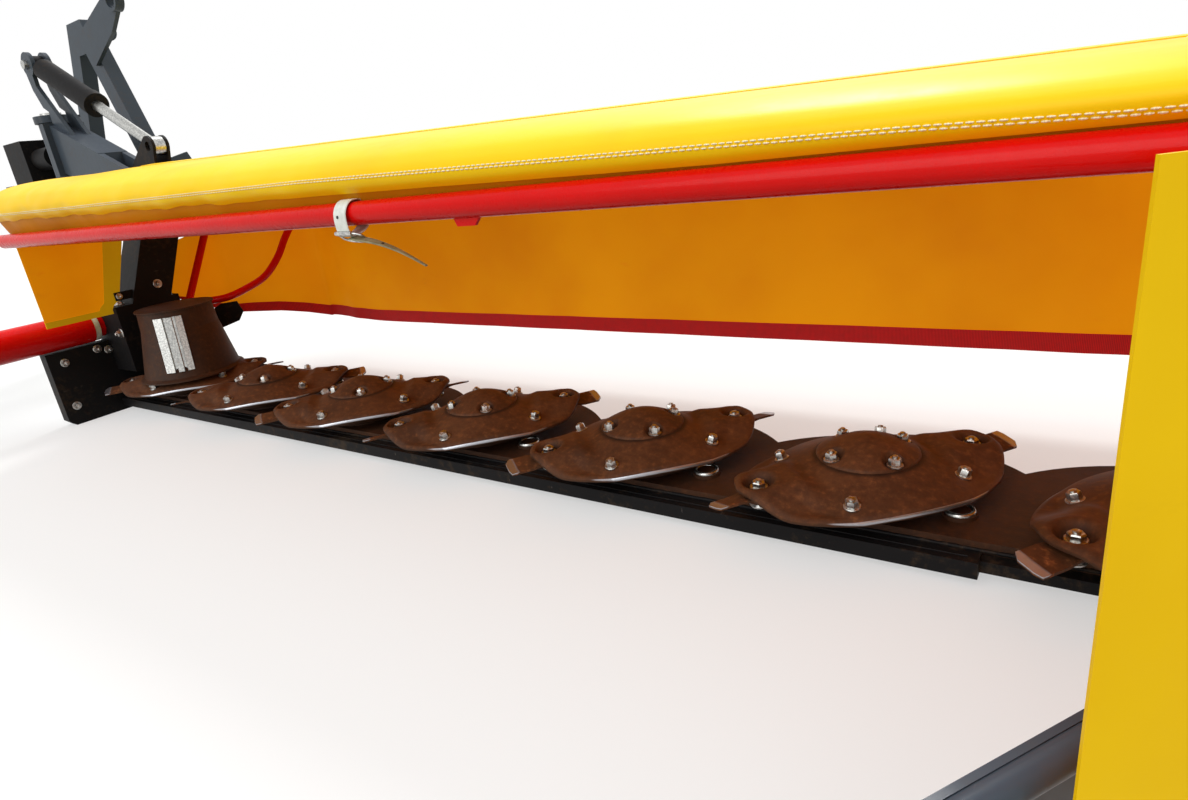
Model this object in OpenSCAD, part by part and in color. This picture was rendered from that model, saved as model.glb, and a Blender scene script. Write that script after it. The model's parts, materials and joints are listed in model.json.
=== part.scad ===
// Rear side-mounted disc mower: headstock, hinged boom, cutter bar with two-knife discs and a cloth guard.
// X runs outward along the cutter bar, Y forward in the driving direction, Z up. The ground is at z = 0.

/* [Cutter bar] */
// Distance between neighbouring disc centres
disc_pitch = 420; // [415:1:440]
// Height of the knife bolts above the ground
disc_z = 115; // [105:1:130]
// Half width of a disc across its waist
disc_waist = 137; // [130:1:142]
// Radius of the disc's two wings
disc_reach = 228; // [222:1:240]
// Sheet thickness of a disc
disc_sheet = 5; // [3:0.5:8]
// Radius of the bowl under a disc
bowl_r = 139; // [125:1:141]
// Radius of the domed cap
cap_r = 82; // [70:1:88]
// Radius of the circle through the knife bolts
knife_bolt_r = 186; // [180:1:190]
// Width of a knife
knife_w = 40; // [34:1:44]
// Thickness of a knife
knife_t = 4; // [3:0.5:5]
// Angle of the discs' long axis from the bar when parked
disc_angle = 45; // [45]
// Thickness of the gear bed
bed_t = 40; // [34:1:44]
// Rear edge of the bed behind the disc centres
bed_rear = 89; // [80:1:95]
// Front edge of the bed's closed box
bed_front = 110; // [95:1:130]
// Radius of the rounded guards in front of each disc
lobe_r = 303; // [295:1:308]
// Thickness of the skids below the bed
skid_t = 15; // [10:1:20]
// Depth of the rail behind the bed
rail_d = 36; // [28:1:44]
// Height of the rail behind the bed
rail_h = 26; // [20:1:34]
// Thickness of the shoe at each end
shoe_t = 42; // [34:1:52]
// Height of the swath drum above its disc
drum_h = 202; // [170:1:202]
// Radius of the swath drum at its top
drum_r = 106; // [90:1:112]

/* [Guard] */
// Rear guard tube behind the disc centres
rear_tube_y = 315; // [300:5:330]
// Height of the rear guard tube's centre
rear_tube_z = 586; // [575:1:600]
// Radius of the rear guard tube
rear_tube_r = 19; // [15:0.5:21]
// Height of the canopy's ridge at the inner end
ridge_in_z = 740; // [725:1:760]
// Height of the canopy's ridge at the outer end
ridge_out_z = 670; // [660:1:680]
// Distance of the front curtain in front of the disc centres
curtain_y = 560; // [550:1:580]
// Height of the curtains' lower edge
hem_z = 146; // [130:1:170]
// Thickness of the cloth with its backing
cloth_t = 4; // [3:0.5:6]
// Radius of the guard's inner tubes
stay_r = 14; // [10:0.5:16]

/* [Headstock and boom] */
// Distance of the tractor's centre line from the first disc
hitch_x = -1250; // [-1300:5:-1240]
// Distance of the hitch pins in front of the disc centres
hitch_y = 575; // [570:5:590]
// Height of the lower hitch pins
hitch_z = 735; // [725:5:745]
// Distance between the shoulders of the lower hitch pins
hitch_span = 825; // [825]
// Height of the top link pin over the lower hitch pins
mast_h = 610; // [610]
// Radius of the lower hitch pins
hitch_pin_r = 14; // [14]
// Radius of the top link hole
top_hole_r = 12.9; // [12.9]
// Radius of the drive shaft's splined end
pto_r = 17.46; // [17.46]
// Height of the drive input
input_z = 850; // [845:1:860]
// Height of the fold pivot
fold_z = 700; // [690:1:710]
// Fold pivot inward of the first disc
fold_x = -420; // [-430:1:-412]
// Middle plane of the boom in front of the disc centres
boom_y = 220; // [215:1:225]
// Depth of the boom
boom_w = 100; // [90:1:110]
// Height of the boom
boom_h = 140; // [120:1:150]
// Slope of the boom in degrees
boom_slope = 18.4; // [17:0.1:20]
// Length of the lever that the lift cylinder pulls
lever_len = 200; // [190:1:205]
// Angle of that lever when parked
lever_angle = 35; // [32:1:38]
// Radius of the lift cylinder's barrel
barrel_r = 38; // [32:1:42]
// Radius of the lift cylinder's rod
rod_r = 18; // [14:1:20]

/* [Swath board] */
// Height of the swath board
board_h = 85; // [60:5:90]
// Length of the swath board
board_len = 1100; // [900:10:1150]

/* [Hidden] */
$fn = 48;
disc_n = 7;
run_gap = 0.3;
bar_last = disc_pitch * (disc_n - 1);

// Knives end short of the neighbouring bowl
knife_gap = 11;
knife_swing = 10;
knife_tip_r = disc_pitch - max(bowl_r, disc_waist) - knife_gap;
bed_top = skid_t + bed_t;
bar_in = -(knife_tip_r + 9);
bar_out = bar_last + knife_tip_r + 9;

// The model's origin lies on the ground in the middle of its outer box
swath_x = bar_out + shoe_t * 0.7;
swath_y = 60;
swath_dir = 237.8;
outer_cloth_x = bar_out + shoe_t + 28;
pin_len = 75;
seat_gap = 0.3;
box_x0 = hitch_x - hitch_span / 2 - pin_len;
box_x1 = outer_cloth_x;
box_y0 = swath_y + board_len * sin(swath_dir);
box_y1 = hitch_y + 105;
origin_x = (box_x0 + box_x1) / 2;
origin_y = (box_y0 + box_y1) / 2;

charcoal = "#3b434c";
black = "#1d1e20";
rust = "#5a3222";
red = "#c41a20";
yellow = "#f2c21a";
zinc = "#b9bcc0";

// Shifts a piece from the first disc's centre to the model's origin
module placed() {
    translate([-origin_x, -origin_y, 0]) children();
}

// Round bar between two points
module rod(p, q, r) {
    d = q - p;
    len = norm(d);
    translate(p) rotate([0, acos(d[2] / len), atan2(d[1], d[0])]) cylinder(h = len, r = r);
}

function unit(v) = v / norm(v);
function turn(u, v) = acos(u * v);

// Elbow of a tube that runs in direction u to the corner p and leaves it in direction v.
// It is a hair thicker than the straight stretches, which reach a little way into it.
swell = 0.3;
reach_in = 2;
module elbow(p, u, v, r, bend) {
    a = turn(u, v);
    n = unit(v - (u * v) * u);
    c = p - u * bend * tan(a / 2) + n * bend;
    z = cross(-n, u);
    multmatrix([[-n[0], u[0], z[0], c[0]], [-n[1], u[1], z[1], c[1]], [-n[2], u[2], z[2], c[2]]])
        rotate_extrude(angle = a) translate([bend, 0]) circle(r + swell);
}

// Round tube along points, bent at each corner
module tube_path(points, r, bend) {
    n = len(points);
    dirs = [for (i = [0 : n - 2]) unit(points[i + 1] - points[i])];
    cuts = [for (i = [0 : n - 1]) (i == 0 || i == n - 1) ? 0 : bend * tan(turn(dirs[i - 1], dirs[i]) / 2)];
    for (i = [0 : n - 2]) rod(points[i] + dirs[i] * (cuts[i] - (i == 0 ? 0 : reach_in)),
        points[i + 1] - dirs[i] * (cuts[i + 1] - (i == n - 2 ? 0 : reach_in)), r);
    for (i = [1 : n - 2]) elbow(points[i], dirs[i - 1], dirs[i], r, bend);
}

// Extrudes an outline drawn in Y and Z along X
module along_x(x0, x1) {
    translate([x0, 0, 0]) rotate([90, 0, 90]) linear_extrude(x1 - x0) children();
}

// Extrudes an outline drawn in X and Z along Y, from y0 to y1
module along_y(y0, y1) {
    translate([0, y1, 0]) rotate([90, 0, 0]) linear_extrude(y1 - y0) children();
}

// Box from one corner to the other
module block(a, b) {
    translate(a) cube(b - a);
}

// HEADSTOCK
beam_y0 = hitch_y - 45;
beam_y1 = hitch_y + 45;
beam_z0 = hitch_z - 45;
beam_z1 = hitch_z + 45;
cheek_t = 20;
cheek_x = hitch_span / 2;
ear_gap = 54;
ear_t = 16;
mast_z = hitch_z + mast_h;
swing_x = hitch_x + 290;
swing_pin_r = 25;
head_r = 50;
head_z0 = 760;
head_z1 = 965;
lug_t = 25;
lug_r = 60;
post_x0 = swing_x - 150;
post_x1 = swing_x - 70;
post_y0 = boom_y + 60;
post_y1 = post_y0 + 70;
rail_x0 = hitch_x - 210;
leg_w = 50;
leg_y = boom_y + 125;
sleeve_top = hitch_z + 165;

module swing_lug(z) {
    translate([0, 0, z]) linear_extrude(lug_t) union() {
        polygon([[post_x0, post_y0], [post_x0, post_y1], [post_x1, post_y1],
            [swing_x + lug_r * 0.9, boom_y + lug_r * 0.43], [swing_x, boom_y - lug_r],
            [swing_x - lug_r * 0.7, boom_y - lug_r * 0.7]]);
        translate([swing_x, boom_y]) circle(lug_r);
    }
}

module headstock() {
    color(charcoal) difference() {
        union() {
            block([hitch_x - cheek_x + cheek_t, beam_y0, beam_z0],
                [hitch_x + cheek_x - cheek_t, beam_y1, beam_z1]);
            for (s = [-1, 1]) translate([hitch_x + s * (cheek_x - cheek_t / 2) - cheek_t / 2, 0, 0])
                along_x(0, cheek_t) polygon([[beam_y0 - 20, beam_z0 - 20], [beam_y1 + 20, beam_z0 - 20],
                    [beam_y1 + 45, hitch_z], [beam_y1 + 10, beam_z1 + 40], [beam_y0 - 20, beam_z1 + 10]]);
            along_y(beam_y0, beam_y0 + 60) difference() {
                polygon([[hitch_x - 330, beam_z1 - 10], [hitch_x + 330, beam_z1 - 10],
                    [hitch_x + 62, mast_z + 35], [hitch_x - 62, mast_z + 35]]);
                polygon([[hitch_x - 235, beam_z1], [hitch_x + 235, beam_z1], [hitch_x + 30, mast_z - 90],
                    [hitch_x - 30, mast_z - 90]]);
            }
            for (s = [-1, 1]) translate([hitch_x + s * (ear_gap + ear_t) / 2 - ear_t / 2, 0, 0])
                along_x(0, ear_t) union() {
                    polygon([[beam_y0 + 30, mast_z - 60], [hitch_y + 60, mast_z - 40],
                        [hitch_y + 60, mast_z + 40], [beam_y0 + 30, mast_z + 35]]);
                    translate([hitch_y + 60, mast_z]) circle(40);
                }
            along_y(beam_y0 - 16, beam_y0) polygon([[hitch_x + 120, mast_z - 150],
                [hitch_x + 330, mast_z - 60], [hitch_x + 470, mast_z + 40],
                [hitch_x + 440, mast_z + 75], [hitch_x + 380, mast_z + 80],
                [hitch_x + 60, mast_z - 20]]);
            translate([hitch_x + 410, beam_y0 + 6, mast_z + 40]) rotate([90, 0, 0]) cylinder(h = 34, r = 42);
        }
        translate([hitch_x - 60, hitch_y + 60, mast_z]) rotate([0, 90, 0]) cylinder(h = 120, r = top_hole_r);
        translate([hitch_x + 410, beam_y0 + 7, mast_z + 40]) rotate([90, 0, 0]) cylinder(h = 36, r = 31);
    }
}

// Frame behind the headstock's beam that carries the swing post and the stand's sleeve
module swing_carrier() {
    low = beam_z0 + 10;
    high = beam_z1 - 10;
    cross_z = beam_z1 - 40;
    color(charcoal) difference() {
        union() {
            block([rail_x0, boom_y - 60, low], [rail_x0 + 80, beam_y0, high]);
            block([post_x0, boom_y + 60, low], [post_x1, beam_y0, high]);
            block([rail_x0, boom_y - 60, low], [post_x0 + 20, boom_y + 20, cross_z]);
            block([post_x0, boom_y - 60, low], [post_x1 - 40, boom_y + 61, cross_z]);
            block([post_x0, post_y0, low], [post_x1, post_y1, head_z1 + lug_t + 10]);
            swing_lug(head_z0 - lug_t);
            swing_lug(head_z1);
            block([rail_x0 - 35, boom_y + 90, beam_z0 - 60], [rail_x0 + 35, boom_y + 160, sleeve_top]);
        }
        translate([swing_x, boom_y, head_z0 - lug_t - 1])
            cylinder(h = head_z1 - head_z0 + 2 * lug_t + 2, r = swing_pin_r + run_gap);
        block([rail_x0 - leg_w / 2 - seat_gap, leg_y - leg_w / 2 - seat_gap, beam_z0 - 61],
            [rail_x0 + leg_w / 2 + seat_gap, leg_y + leg_w / 2 + seat_gap, sleeve_top + 1]);
    }
}

module hitch_pins() {
    color(zinc) for (s = [-1, 1]) {
        a = [hitch_x + s * cheek_x, beam_y1, hitch_z];
        rod(a, a + [s * pin_len, 0, 0], hitch_pin_r);
        rod(a, a + [s * 6, 0, 0], hitch_pin_r + 9);
    }
}

module breakaway_pin() {
    color(zinc) translate([swing_x, boom_y, head_z0 - lug_t - 12]) {
        cylinder(h = head_z1 - head_z0 + 2 * lug_t + 12, r = swing_pin_r);
        cylinder(h = 12, r = swing_pin_r + 12);
        translate([0, 0, head_z1 - head_z0 + 2 * lug_t + 12]) cylinder(h = 10, r = swing_pin_r + 10);
    }
}

journal_r = 25;
module input_gearbox() {
    color(black) difference() {
        union() {
            block([hitch_x - 85, boom_y - 60, input_z - 110], [hitch_x + 85, boom_y + 70, input_z + 75]);
            rod([hitch_x, boom_y + 70, input_z], [hitch_x, boom_y + 105, input_z], 48);
            rod([hitch_x + 85, boom_y, input_z], [post_x1 - 5, boom_y, input_z], 42);
        }
        rod([hitch_x, boom_y + 60, input_z], [hitch_x, boom_y + 106, input_z], journal_r + run_gap);
    }
}

module shaft_guard() {
    color(black) difference() {
        rod([hitch_x, boom_y + 105, input_z], [hitch_x, boom_y + 235, input_z], 80);
        rod([hitch_x, boom_y + 112, input_z], [hitch_x, boom_y + 236, input_z], 75);
        rod([hitch_x, boom_y + 104, input_z], [hitch_x, boom_y + 113, input_z], 40);
    }
}

module input_shaft() {
    color(zinc) union() {
        rod([hitch_x, boom_y + 61, input_z], [hitch_x, boom_y + 112, input_z], journal_r);
        rod([hitch_x, boom_y + 111, input_z], [hitch_x, boom_y + 200, input_z], pto_r);
    }
}

module stand_leg() {
    color(charcoal) union() {
        block([rail_x0 - leg_w / 2, leg_y - leg_w / 2, 8],
            [rail_x0 + leg_w / 2, leg_y + leg_w / 2, hitch_z + 90]);
        block([rail_x0 - 75, leg_y - 75, 0], [rail_x0 + 75, leg_y + 75, 8]);
    }
}

// BOOM
flange_x = swing_x + 70;
flange_t = 12;
cheek_w = 20;
pin_r = 25;
tower_x = swing_x + 30;
tower_z = 1165;
tower_gap = 40;
box_end_x = fold_x - 150;

function boom_mid(x) = fold_z + (fold_x - x) * tan(boom_slope);
boom_half = boom_h / 2 / cos(boom_slope);

module breakaway_head() {
    color(charcoal) difference() {
        union() {
            translate([swing_x, boom_y, head_z0 + run_gap])
                cylinder(h = head_z1 - head_z0 - 2 * run_gap, r = head_r);
            block([swing_x, boom_y - 35, head_z0 + 25], [flange_x - flange_t, boom_y + 35, head_z1 - 15]);
            block([flange_x - flange_t, boom_y - 70, head_z0 + 10], [flange_x, boom_y + 70, head_z1 - 8]);
        }
        translate([swing_x, boom_y, head_z0 - 1])
            cylinder(h = head_z1 - head_z0 + 2, r = swing_pin_r + run_gap);
    }
}

module boom() {
    color(charcoal) difference() {
        union() {
            block([flange_x, boom_y - 70, head_z0 + 10], [flange_x + flange_t, boom_y + 70, head_z1 - 8]);
            along_y(boom_y - boom_w / 2, boom_y + boom_w / 2)
                polygon([[flange_x + flange_t, head_z0 + 20], [box_end_x, boom_mid(box_end_x) - boom_half],
                    [box_end_x, boom_mid(box_end_x) + boom_half], [flange_x + flange_t, head_z1 - 15]]);
            for (s = [-1, 1]) {
                y0 = boom_y + s * (boom_w / 2 - cheek_w / 2) - cheek_w / 2;
                along_y(y0, y0 + cheek_w) union() {
                    polygon([[box_end_x - 20, boom_mid(box_end_x - 20) - boom_half],
                        [fold_x - 10, fold_z - 57],
                        [fold_x + 10, fold_z + 57], [box_end_x - 20, boom_mid(box_end_x - 20) + boom_half]]);
                    translate([fold_x, fold_z]) circle(58);
                }
                y1 = boom_y + s * (tower_gap / 2 + 7) - 7;
                along_y(y1, y1 + 14) union() {
                    polygon([[flange_x + 8, 940], [flange_x + 20, 930],
                        [flange_x + 150, boom_mid(flange_x + 150) + boom_half - 5],
                        [tower_x + 15, tower_z - 75], [tower_x + 15, tower_z - 20],
                        [tower_x - 38, tower_z + 5], [tower_x - 22, tower_z - 85],
                        [tower_x + 14, head_z1 + 50], [flange_x + 8, head_z1 + 32]]);
                    translate([tower_x, tower_z]) circle(42);
                }
            }
        }
        rod([fold_x, boom_y - 60, fold_z], [fold_x, boom_y + 60, fold_z], pin_r + run_gap);
        rod([tower_x, boom_y - 60, tower_z], [tower_x, boom_y + 60, tower_z], 15 + run_gap);
    }
}

module boom_pins() {
    color(zinc) {
        rod([fold_x, boom_y - boom_w / 2 - 14, fold_z], [fold_x, boom_y + boom_w / 2 + 14, fold_z], pin_r);
        rod([tower_x, boom_y - 48, tower_z], [tower_x, boom_y + 48, tower_z], 15);
    }
}

// LIFT CYLINDER
lever_x = fold_x + lever_len * cos(lever_angle);
lever_z = fold_z + lever_len * sin(lever_angle);
lift_len = norm([lever_x - tower_x, lever_z - tower_z]);
lift_dir = atan2(lever_z - tower_z, lever_x - tower_x);
barrel_in = 52;
barrel_len = 400;
rod_in = 48;

module on_lift_axis() {
    translate([tower_x, boom_y, tower_z]) rotate([0, 90 - lift_dir, 0]) children();
}

module lift_barrel() {
    color(black) difference() {
        union() {
            on_lift_axis() translate([0, 0, barrel_in]) cylinder(h = barrel_len - barrel_in, r = barrel_r);
            on_lift_axis() translate([0, 0, barrel_len - 40]) cylinder(h = 40, r = barrel_r + 4);
            on_lift_axis() cylinder(h = barrel_in + 1, r = 17);
            rod([tower_x, boom_y - 18, tower_z], [tower_x, boom_y + 18, tower_z], 30);
        }
        on_lift_axis() translate([0, 0, 60]) cylinder(h = barrel_len, r = rod_r + run_gap);
        rod([tower_x, boom_y - 30, tower_z], [tower_x, boom_y + 30, tower_z], 15 + run_gap);
    }
}

module lift_rod() {
    color(zinc) union() {
        on_lift_axis() translate([0, 0, barrel_len - rod_in])
            cylinder(h = lift_len - barrel_len + rod_in, r = rod_r);
        rod([lever_x, boom_y - 17, lever_z], [lever_x, boom_y + 17, lever_z], 30);
    }
}

// CUTTER BAR
module bed() {
    color(rust) union() {
        block([bar_in, -bed_rear, skid_t], [bar_out, bed_front, bed_top]);
        intersection() {
            union() for (i = [0 : disc_n - 1])
                translate([disc_pitch * i, -50, bed_top - 16])
                    cylinder(h = 16, r1 = lobe_r, r2 = lobe_r - 10, $fn = 96);
            block([bar_in, bed_front - 1, 0], [bar_out, 400, bed_top + 1]);
        }
        for (i = [0 : disc_n - 1]) {
            translate([disc_pitch * i, 0, bed_top - 1]) cylinder(h = 7, r = 78);
            if (i < disc_n - 1) translate([disc_pitch * i + disc_pitch / 3, -20, bed_top - 1]) {
                cylinder(h = 7, r = 25);
                cylinder(h = 10, r = 16);
            }
        }
    }
}

module rear_rail() {
    color(black) union() {
        block([bar_in, -bed_rear - rail_d, skid_t],
            [bar_last - disc_pitch * 0.57, -bed_rear, skid_t + rail_h]);
        block([bar_last - disc_pitch * 0.57 - 1, -bed_rear - rail_d * 0.6, skid_t + 4],
            [bar_out, -bed_rear, skid_t + rail_h - 4]);
    }
}

module skids() {
    color(black) for (i = [0 : disc_n - 1]) translate([disc_pitch * i - 75, 0, 0])
        along_x(0, 150) polygon([[-bed_rear + 4, skid_t], [-bed_rear + 10, 0], [bed_front, 0],
            [bed_front + 80, 16], [bed_front + 124, bed_top - 17], [bed_front + 120, bed_top - 16],
            [bed_front, bed_top - 16], [bed_front, skid_t]]);
}

module inner_shoe() {
    color(black) along_x(bar_in - shoe_t, bar_in) polygon([[-290, 18], [-272, 0], [120, 0],
        [200, 38], [238, 95], [228, 130], [110, 150], [-20, 235], [-290, 235]]);
}

module outer_shoe() {
    color(black) union() {
        along_x(bar_out, bar_out + shoe_t) polygon([[-262, 20], [-245, 0], [130, 0], [210, 42], [250, 108],
            [238, 150], [120, 160], [-60, 160], [-262, 110]]);
        translate([swath_x, swath_y, 150]) cylinder(h = disc_z + 125 - 150, r = 12);
    }
}

gear_x1 = -150;
gear_z0 = disc_z + 20;
gear_z1 = 345;
module inner_gearbox() {
    color(black) union() {
        block([bar_in, -105, gear_z0], [gear_x1, 95, gear_z1]);
        block([bar_in - 66, -105, 236], [bar_in + 1, 95, gear_z1]);
    }
}

column_lean = 24;
arm_z0 = 555;
arm_z1 = 640;
eye_w = 56;
module column() {
    lean = (arm_z1 - gear_z1) * tan(column_lean);
    color(black) difference() {
        union() {
            along_x(gear_x1 - 120, gear_x1) polygon([[-52, gear_z1], [72, gear_z1], [72 + lean, arm_z1],
                [-52 + lean, arm_z1]]);
            block([fold_x - 20, 100, arm_z0], [gear_x1, boom_y + 40, arm_z1 - 20]);
            block([gear_x1 - 120, 90, arm_z0], [gear_x1, boom_y + 40, arm_z1]);
            along_y(boom_y - eye_w / 2, boom_y + eye_w / 2) polygon([[fold_x - 18, arm_z1 - 30],
                [fold_x + 120, arm_z1 - 30], [fold_x + 46, fold_z], [fold_x - 46, fold_z]]);
            rod([fold_x, boom_y - eye_w / 2, fold_z], [fold_x, boom_y + eye_w / 2, fold_z], 46);
            for (s = [-1, 1]) {
                y0 = boom_y + s * 23.5 - 4.5;
                along_y(y0, y0 + 9) union() {
                    polygon([[fold_x - 20, fold_z + 38], [fold_x + 42, fold_z - 30],
                        [fold_x + 120, arm_z1 - 30],
                        [lever_x + 26, lever_z - 20], [lever_x - 18, lever_z + 27]]);
                    translate([lever_x, lever_z]) circle(32);
                }
            }
        }
        rod([fold_x, boom_y - 60, fold_z], [fold_x, boom_y + 60, fold_z], pin_r + run_gap);
        rod([lever_x, boom_y - 60, lever_z], [lever_x, boom_y + 60, lever_z], 15.3);
    }
}

side_tube_x = bar_in - 22;
side_tube_z = 287;
module side_tube() {
    color(red) union() {
        rod([side_tube_x, -430, side_tube_z], [side_tube_x, -140, side_tube_z], 49);
        rod([side_tube_x, -140, side_tube_z], [side_tube_x, -122, side_tube_z], 45);
        rod([side_tube_x, -122, side_tube_z], [side_tube_x, -105, side_tube_z], 38);
    }
}

// GUARD
guard_in = gear_x1 - 20;
guard_out = bar_last - 70;
hinge_y = 155;
split = 16;
hinge_r = 11;
hinge_pin_r = 6;
hinge_up = 3;
function ridge(x) = ridge_in_z + (ridge_out_z - ridge_in_z) * (x - guard_in) / (guard_out - guard_in);
hem_top = rear_tube_z + rear_tube_r + 7;

// Outline points of the cloth: distance forward, share of the height between hem and ridge
rear_shape = [[-rear_tube_y - 11, 0], [-rear_tube_y - 7, 0.35], [-rear_tube_y + 15, 0.68],
    [-rear_tube_y + 60, 0.88], [-rear_tube_y + 135, 0.98], [-80, 1], [hinge_y - split, 1]];
front_shape = [[hinge_y + split, 1], [300, 0.97], [420, 0.85], [510, 0.6], [curtain_y - 8, 0.25],
    [curtain_y, 0]];

function lifted(shape, x) = [for (p = shape) [x, p[0], hem_top + p[1] * (ridge(x) - hem_top)]];

// Cloth between two stations along the bar, as one closed skin
module cloth(shape, x0, x1, inset) {
    n = len(shape);
    outer0 = lifted(shape, x0);
    outer1 = lifted(shape, x1);
    inner0 = [for (i = [0 : n - 1]) outer0[i] + inset[i]];
    inner1 = [for (i = [0 : n - 1]) outer1[i] + inset[i]];
    points = concat(outer0, outer1, inner0, inner1);
    faces = concat(
        [for (i = [0 : n - 2]) [i, i + 1, n + i + 1]], [for (i = [0 : n - 2]) [i, n + i + 1, n + i]],
        [for (i = [0 : n - 2]) [2 * n + i + 1, 2 * n + i, 3 * n + i + 1]],
        [for (i = [0 : n - 2]) [3 * n + i + 1, 2 * n + i, 3 * n + i]],
        [for (i = [0 : n - 2]) [i + 1, i, 2 * n + i]],
        [for (i = [0 : n - 2]) [i + 1, 2 * n + i, 2 * n + i + 1]],
        [for (i = [0 : n - 2]) [n + i, n + i + 1, 3 * n + i]],
        [for (i = [0 : n - 2]) [n + i + 1, 3 * n + i + 1, 3 * n + i]],
        [[0, n, 2 * n], [n, 3 * n, 2 * n], [n - 1, 3 * n - 1, 2 * n - 1], [2 * n - 1, 3 * n - 1, 4 * n - 1]]);
    polyhedron(points, faces);
}

front_at = [200, 1150, 2280];
lug_w = 9;
outer_hinge_x = guard_out + 16;
outer_hinge_z = ridge_out_z + hinge_up;
outer_hinge_y = [-150, 120];

// Point on the hinge line of the front guard
function hinge_at(x) = [x, hinge_y, ridge(x) + hinge_up];

// Pair of lugs on both sides of the outer guard's eye
module outer_lugs(y, foot) {
    for (s = [-1, 1]) along_y(y + s * 18 - lug_w / 2, y + s * 18 + lug_w / 2) union() {
        polygon(concat(foot, [[outer_hinge_x + 9, outer_hinge_z - 5], [outer_hinge_x - 8, outer_hinge_z - 5],
            [guard_out - 1, ridge_out_z - cloth_t - 4], [guard_out - 45, ridge_out_z - cloth_t - 8]]));
        translate([outer_hinge_x, outer_hinge_z]) circle(hinge_r);
    }
    rod([outer_hinge_x, y - 28, outer_hinge_z], [outer_hinge_x, y + 28, outer_hinge_z], hinge_pin_r);
}

module guard_beam() {
    color(charcoal) union() {
        block([gear_x1, 90, 600], [guard_out, 150, 655]);
        for (x = front_at) {
            for (s = [-1, 1]) translate([x + s * 20 - lug_w / 2, 0, 0]) along_x(0, lug_w) union() {
                polygon([[122, 640], [149, 640], [hinge_y + 9, ridge(x) + hinge_up],
                    [hinge_y - 9, ridge(x) + hinge_up]]);
                translate([hinge_y, ridge(x) + hinge_up]) circle(hinge_r);
            }
            rod(hinge_at(x - 28), hinge_at(x + 28), hinge_pin_r);
        }
        outer_lugs(outer_hinge_y[1], [[guard_out - 45, 640], [guard_out - 1, 640]]);
    }
}

module rear_tube() {
    color(red) union() {
        rod([guard_in, -rear_tube_y, rear_tube_z], [guard_out - 5, -rear_tube_y, rear_tube_z], rear_tube_r);
        along_y(-rear_tube_y - 3, -rear_tube_y + 3) polygon([[1590, rear_tube_z - 10],
            [1653, rear_tube_z - 10], [1635, rear_tube_z - rear_tube_r - 11],
            [1600, rear_tube_z - rear_tube_r - 11]]);
    }
}

arm_at = [-100, 700, 1620, guard_out - 60];
arm_bend = 40;
function arm_top(x) = ridge(x) - cloth_t - stay_r - 0.6;
module guard_arms() {
    color(red) {
        difference() {
            for (x = arm_at) tube_path([[x, 120, 630], [x, 60, arm_top(x)], [x, -80, arm_top(x)],
                [x, -rear_tube_y + rear_tube_r + 4, rear_tube_z + 4]], stay_r, arm_bend);
            block([gear_x1 - 1, 90 - seat_gap, 599], [guard_out + 1, 150, 655 + seat_gap]);
        }
        outer_lugs(outer_hinge_y[0], [[guard_out - 62, 610], [guard_out - 45, 610]]);
    }
}

module inner_tubes() {
    color(red) {
        tube_path([[gear_x1 - 30, 95, 302], [gear_x1 - 30, 135, 302], [-55, 205, 302], [-12, 330, 345],
            [22, 420, 462], [22, curtain_y - 42, 570]], stay_r, 40);
        rod([gear_x1 - 25, 132, 306], [gear_x1 - 25, 277.2, 560], 12);
    }
}

module tube_bracket() {
    color(black) translate([gear_x1 - 10, 95, 0]) rotate([0, 0, 53]) translate([0, -6, 0])
        along_y(0, 12) polygon([[5, 190], [20, 185], [165, 222], [184, 250], [172, 287.4], [120, 287.4],
            [60, 255], [5, 240]]);
}

// Way from the cloth's outer face to its inner face at each outline point
rear_in = [[0, cloth_t, 0], [0, cloth_t, 0], [0, cloth_t * 0.8, -cloth_t * 0.6], [0, cloth_t * 0.4, -cloth_t],
    [0, 0, -cloth_t], [0, 0, -cloth_t], [0, 0, -cloth_t]];
front_in = [[0, 0, -cloth_t], [0, 0, -cloth_t], [0, -cloth_t * 0.4, -cloth_t],
    [0, -cloth_t * 0.8, -cloth_t * 0.8], [0, -cloth_t, -cloth_t * 0.3], [0, -cloth_t, 0]];

module canopy() {
    color(yellow) cloth(rear_shape, guard_in, guard_out, rear_in);
}

// Height of the cloth's underside at a point of its profile
function under(p, x) = hem_top + p[1] * (ridge(x) - hem_top) - cloth_t - 1;

module inner_curtain() {
    tube_side = -rear_tube_y + rear_tube_r + seat_gap;
    color(yellow) along_x(guard_in, guard_in + cloth_t) polygon([[tube_side, 325], [-107, 325], [-107, 350],
        [-70, 350], [-70, under([0, 1], guard_in)], [-80, under([0, 1], guard_in)],
        [-rear_tube_y + 135, under([0, 0.98], guard_in)], [-rear_tube_y + 60, under([0, 0.86], guard_in)],
        [tube_side, under([0, 0.66], guard_in)]]);
}

module hem_strap() {
    color("white") difference() {
        union() {
            rod([1356, -rear_tube_y, rear_tube_z], [1384, -rear_tube_y, rear_tube_z], rear_tube_r + 4);
            block([1356, -rear_tube_y - rear_tube_r + 4 - cloth_t - 11, rear_tube_z - 10],
                [1384, -rear_tube_y - 11 - seat_gap, hem_top + 26]);
            block([1360, -rear_tube_y - rear_tube_r - 6, rear_tube_z - 50],
                [1380, -rear_tube_y - rear_tube_r - 1, rear_tube_z - 4]);
        }
        rod([1350, -rear_tube_y, rear_tube_z], [1410, -rear_tube_y, rear_tube_z], rear_tube_r);
        block([1350, -rear_tube_y - 11 - seat_gap, rear_tube_z + rear_tube_r + 4], [1390, 0, 700]);
    }
}

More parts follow.
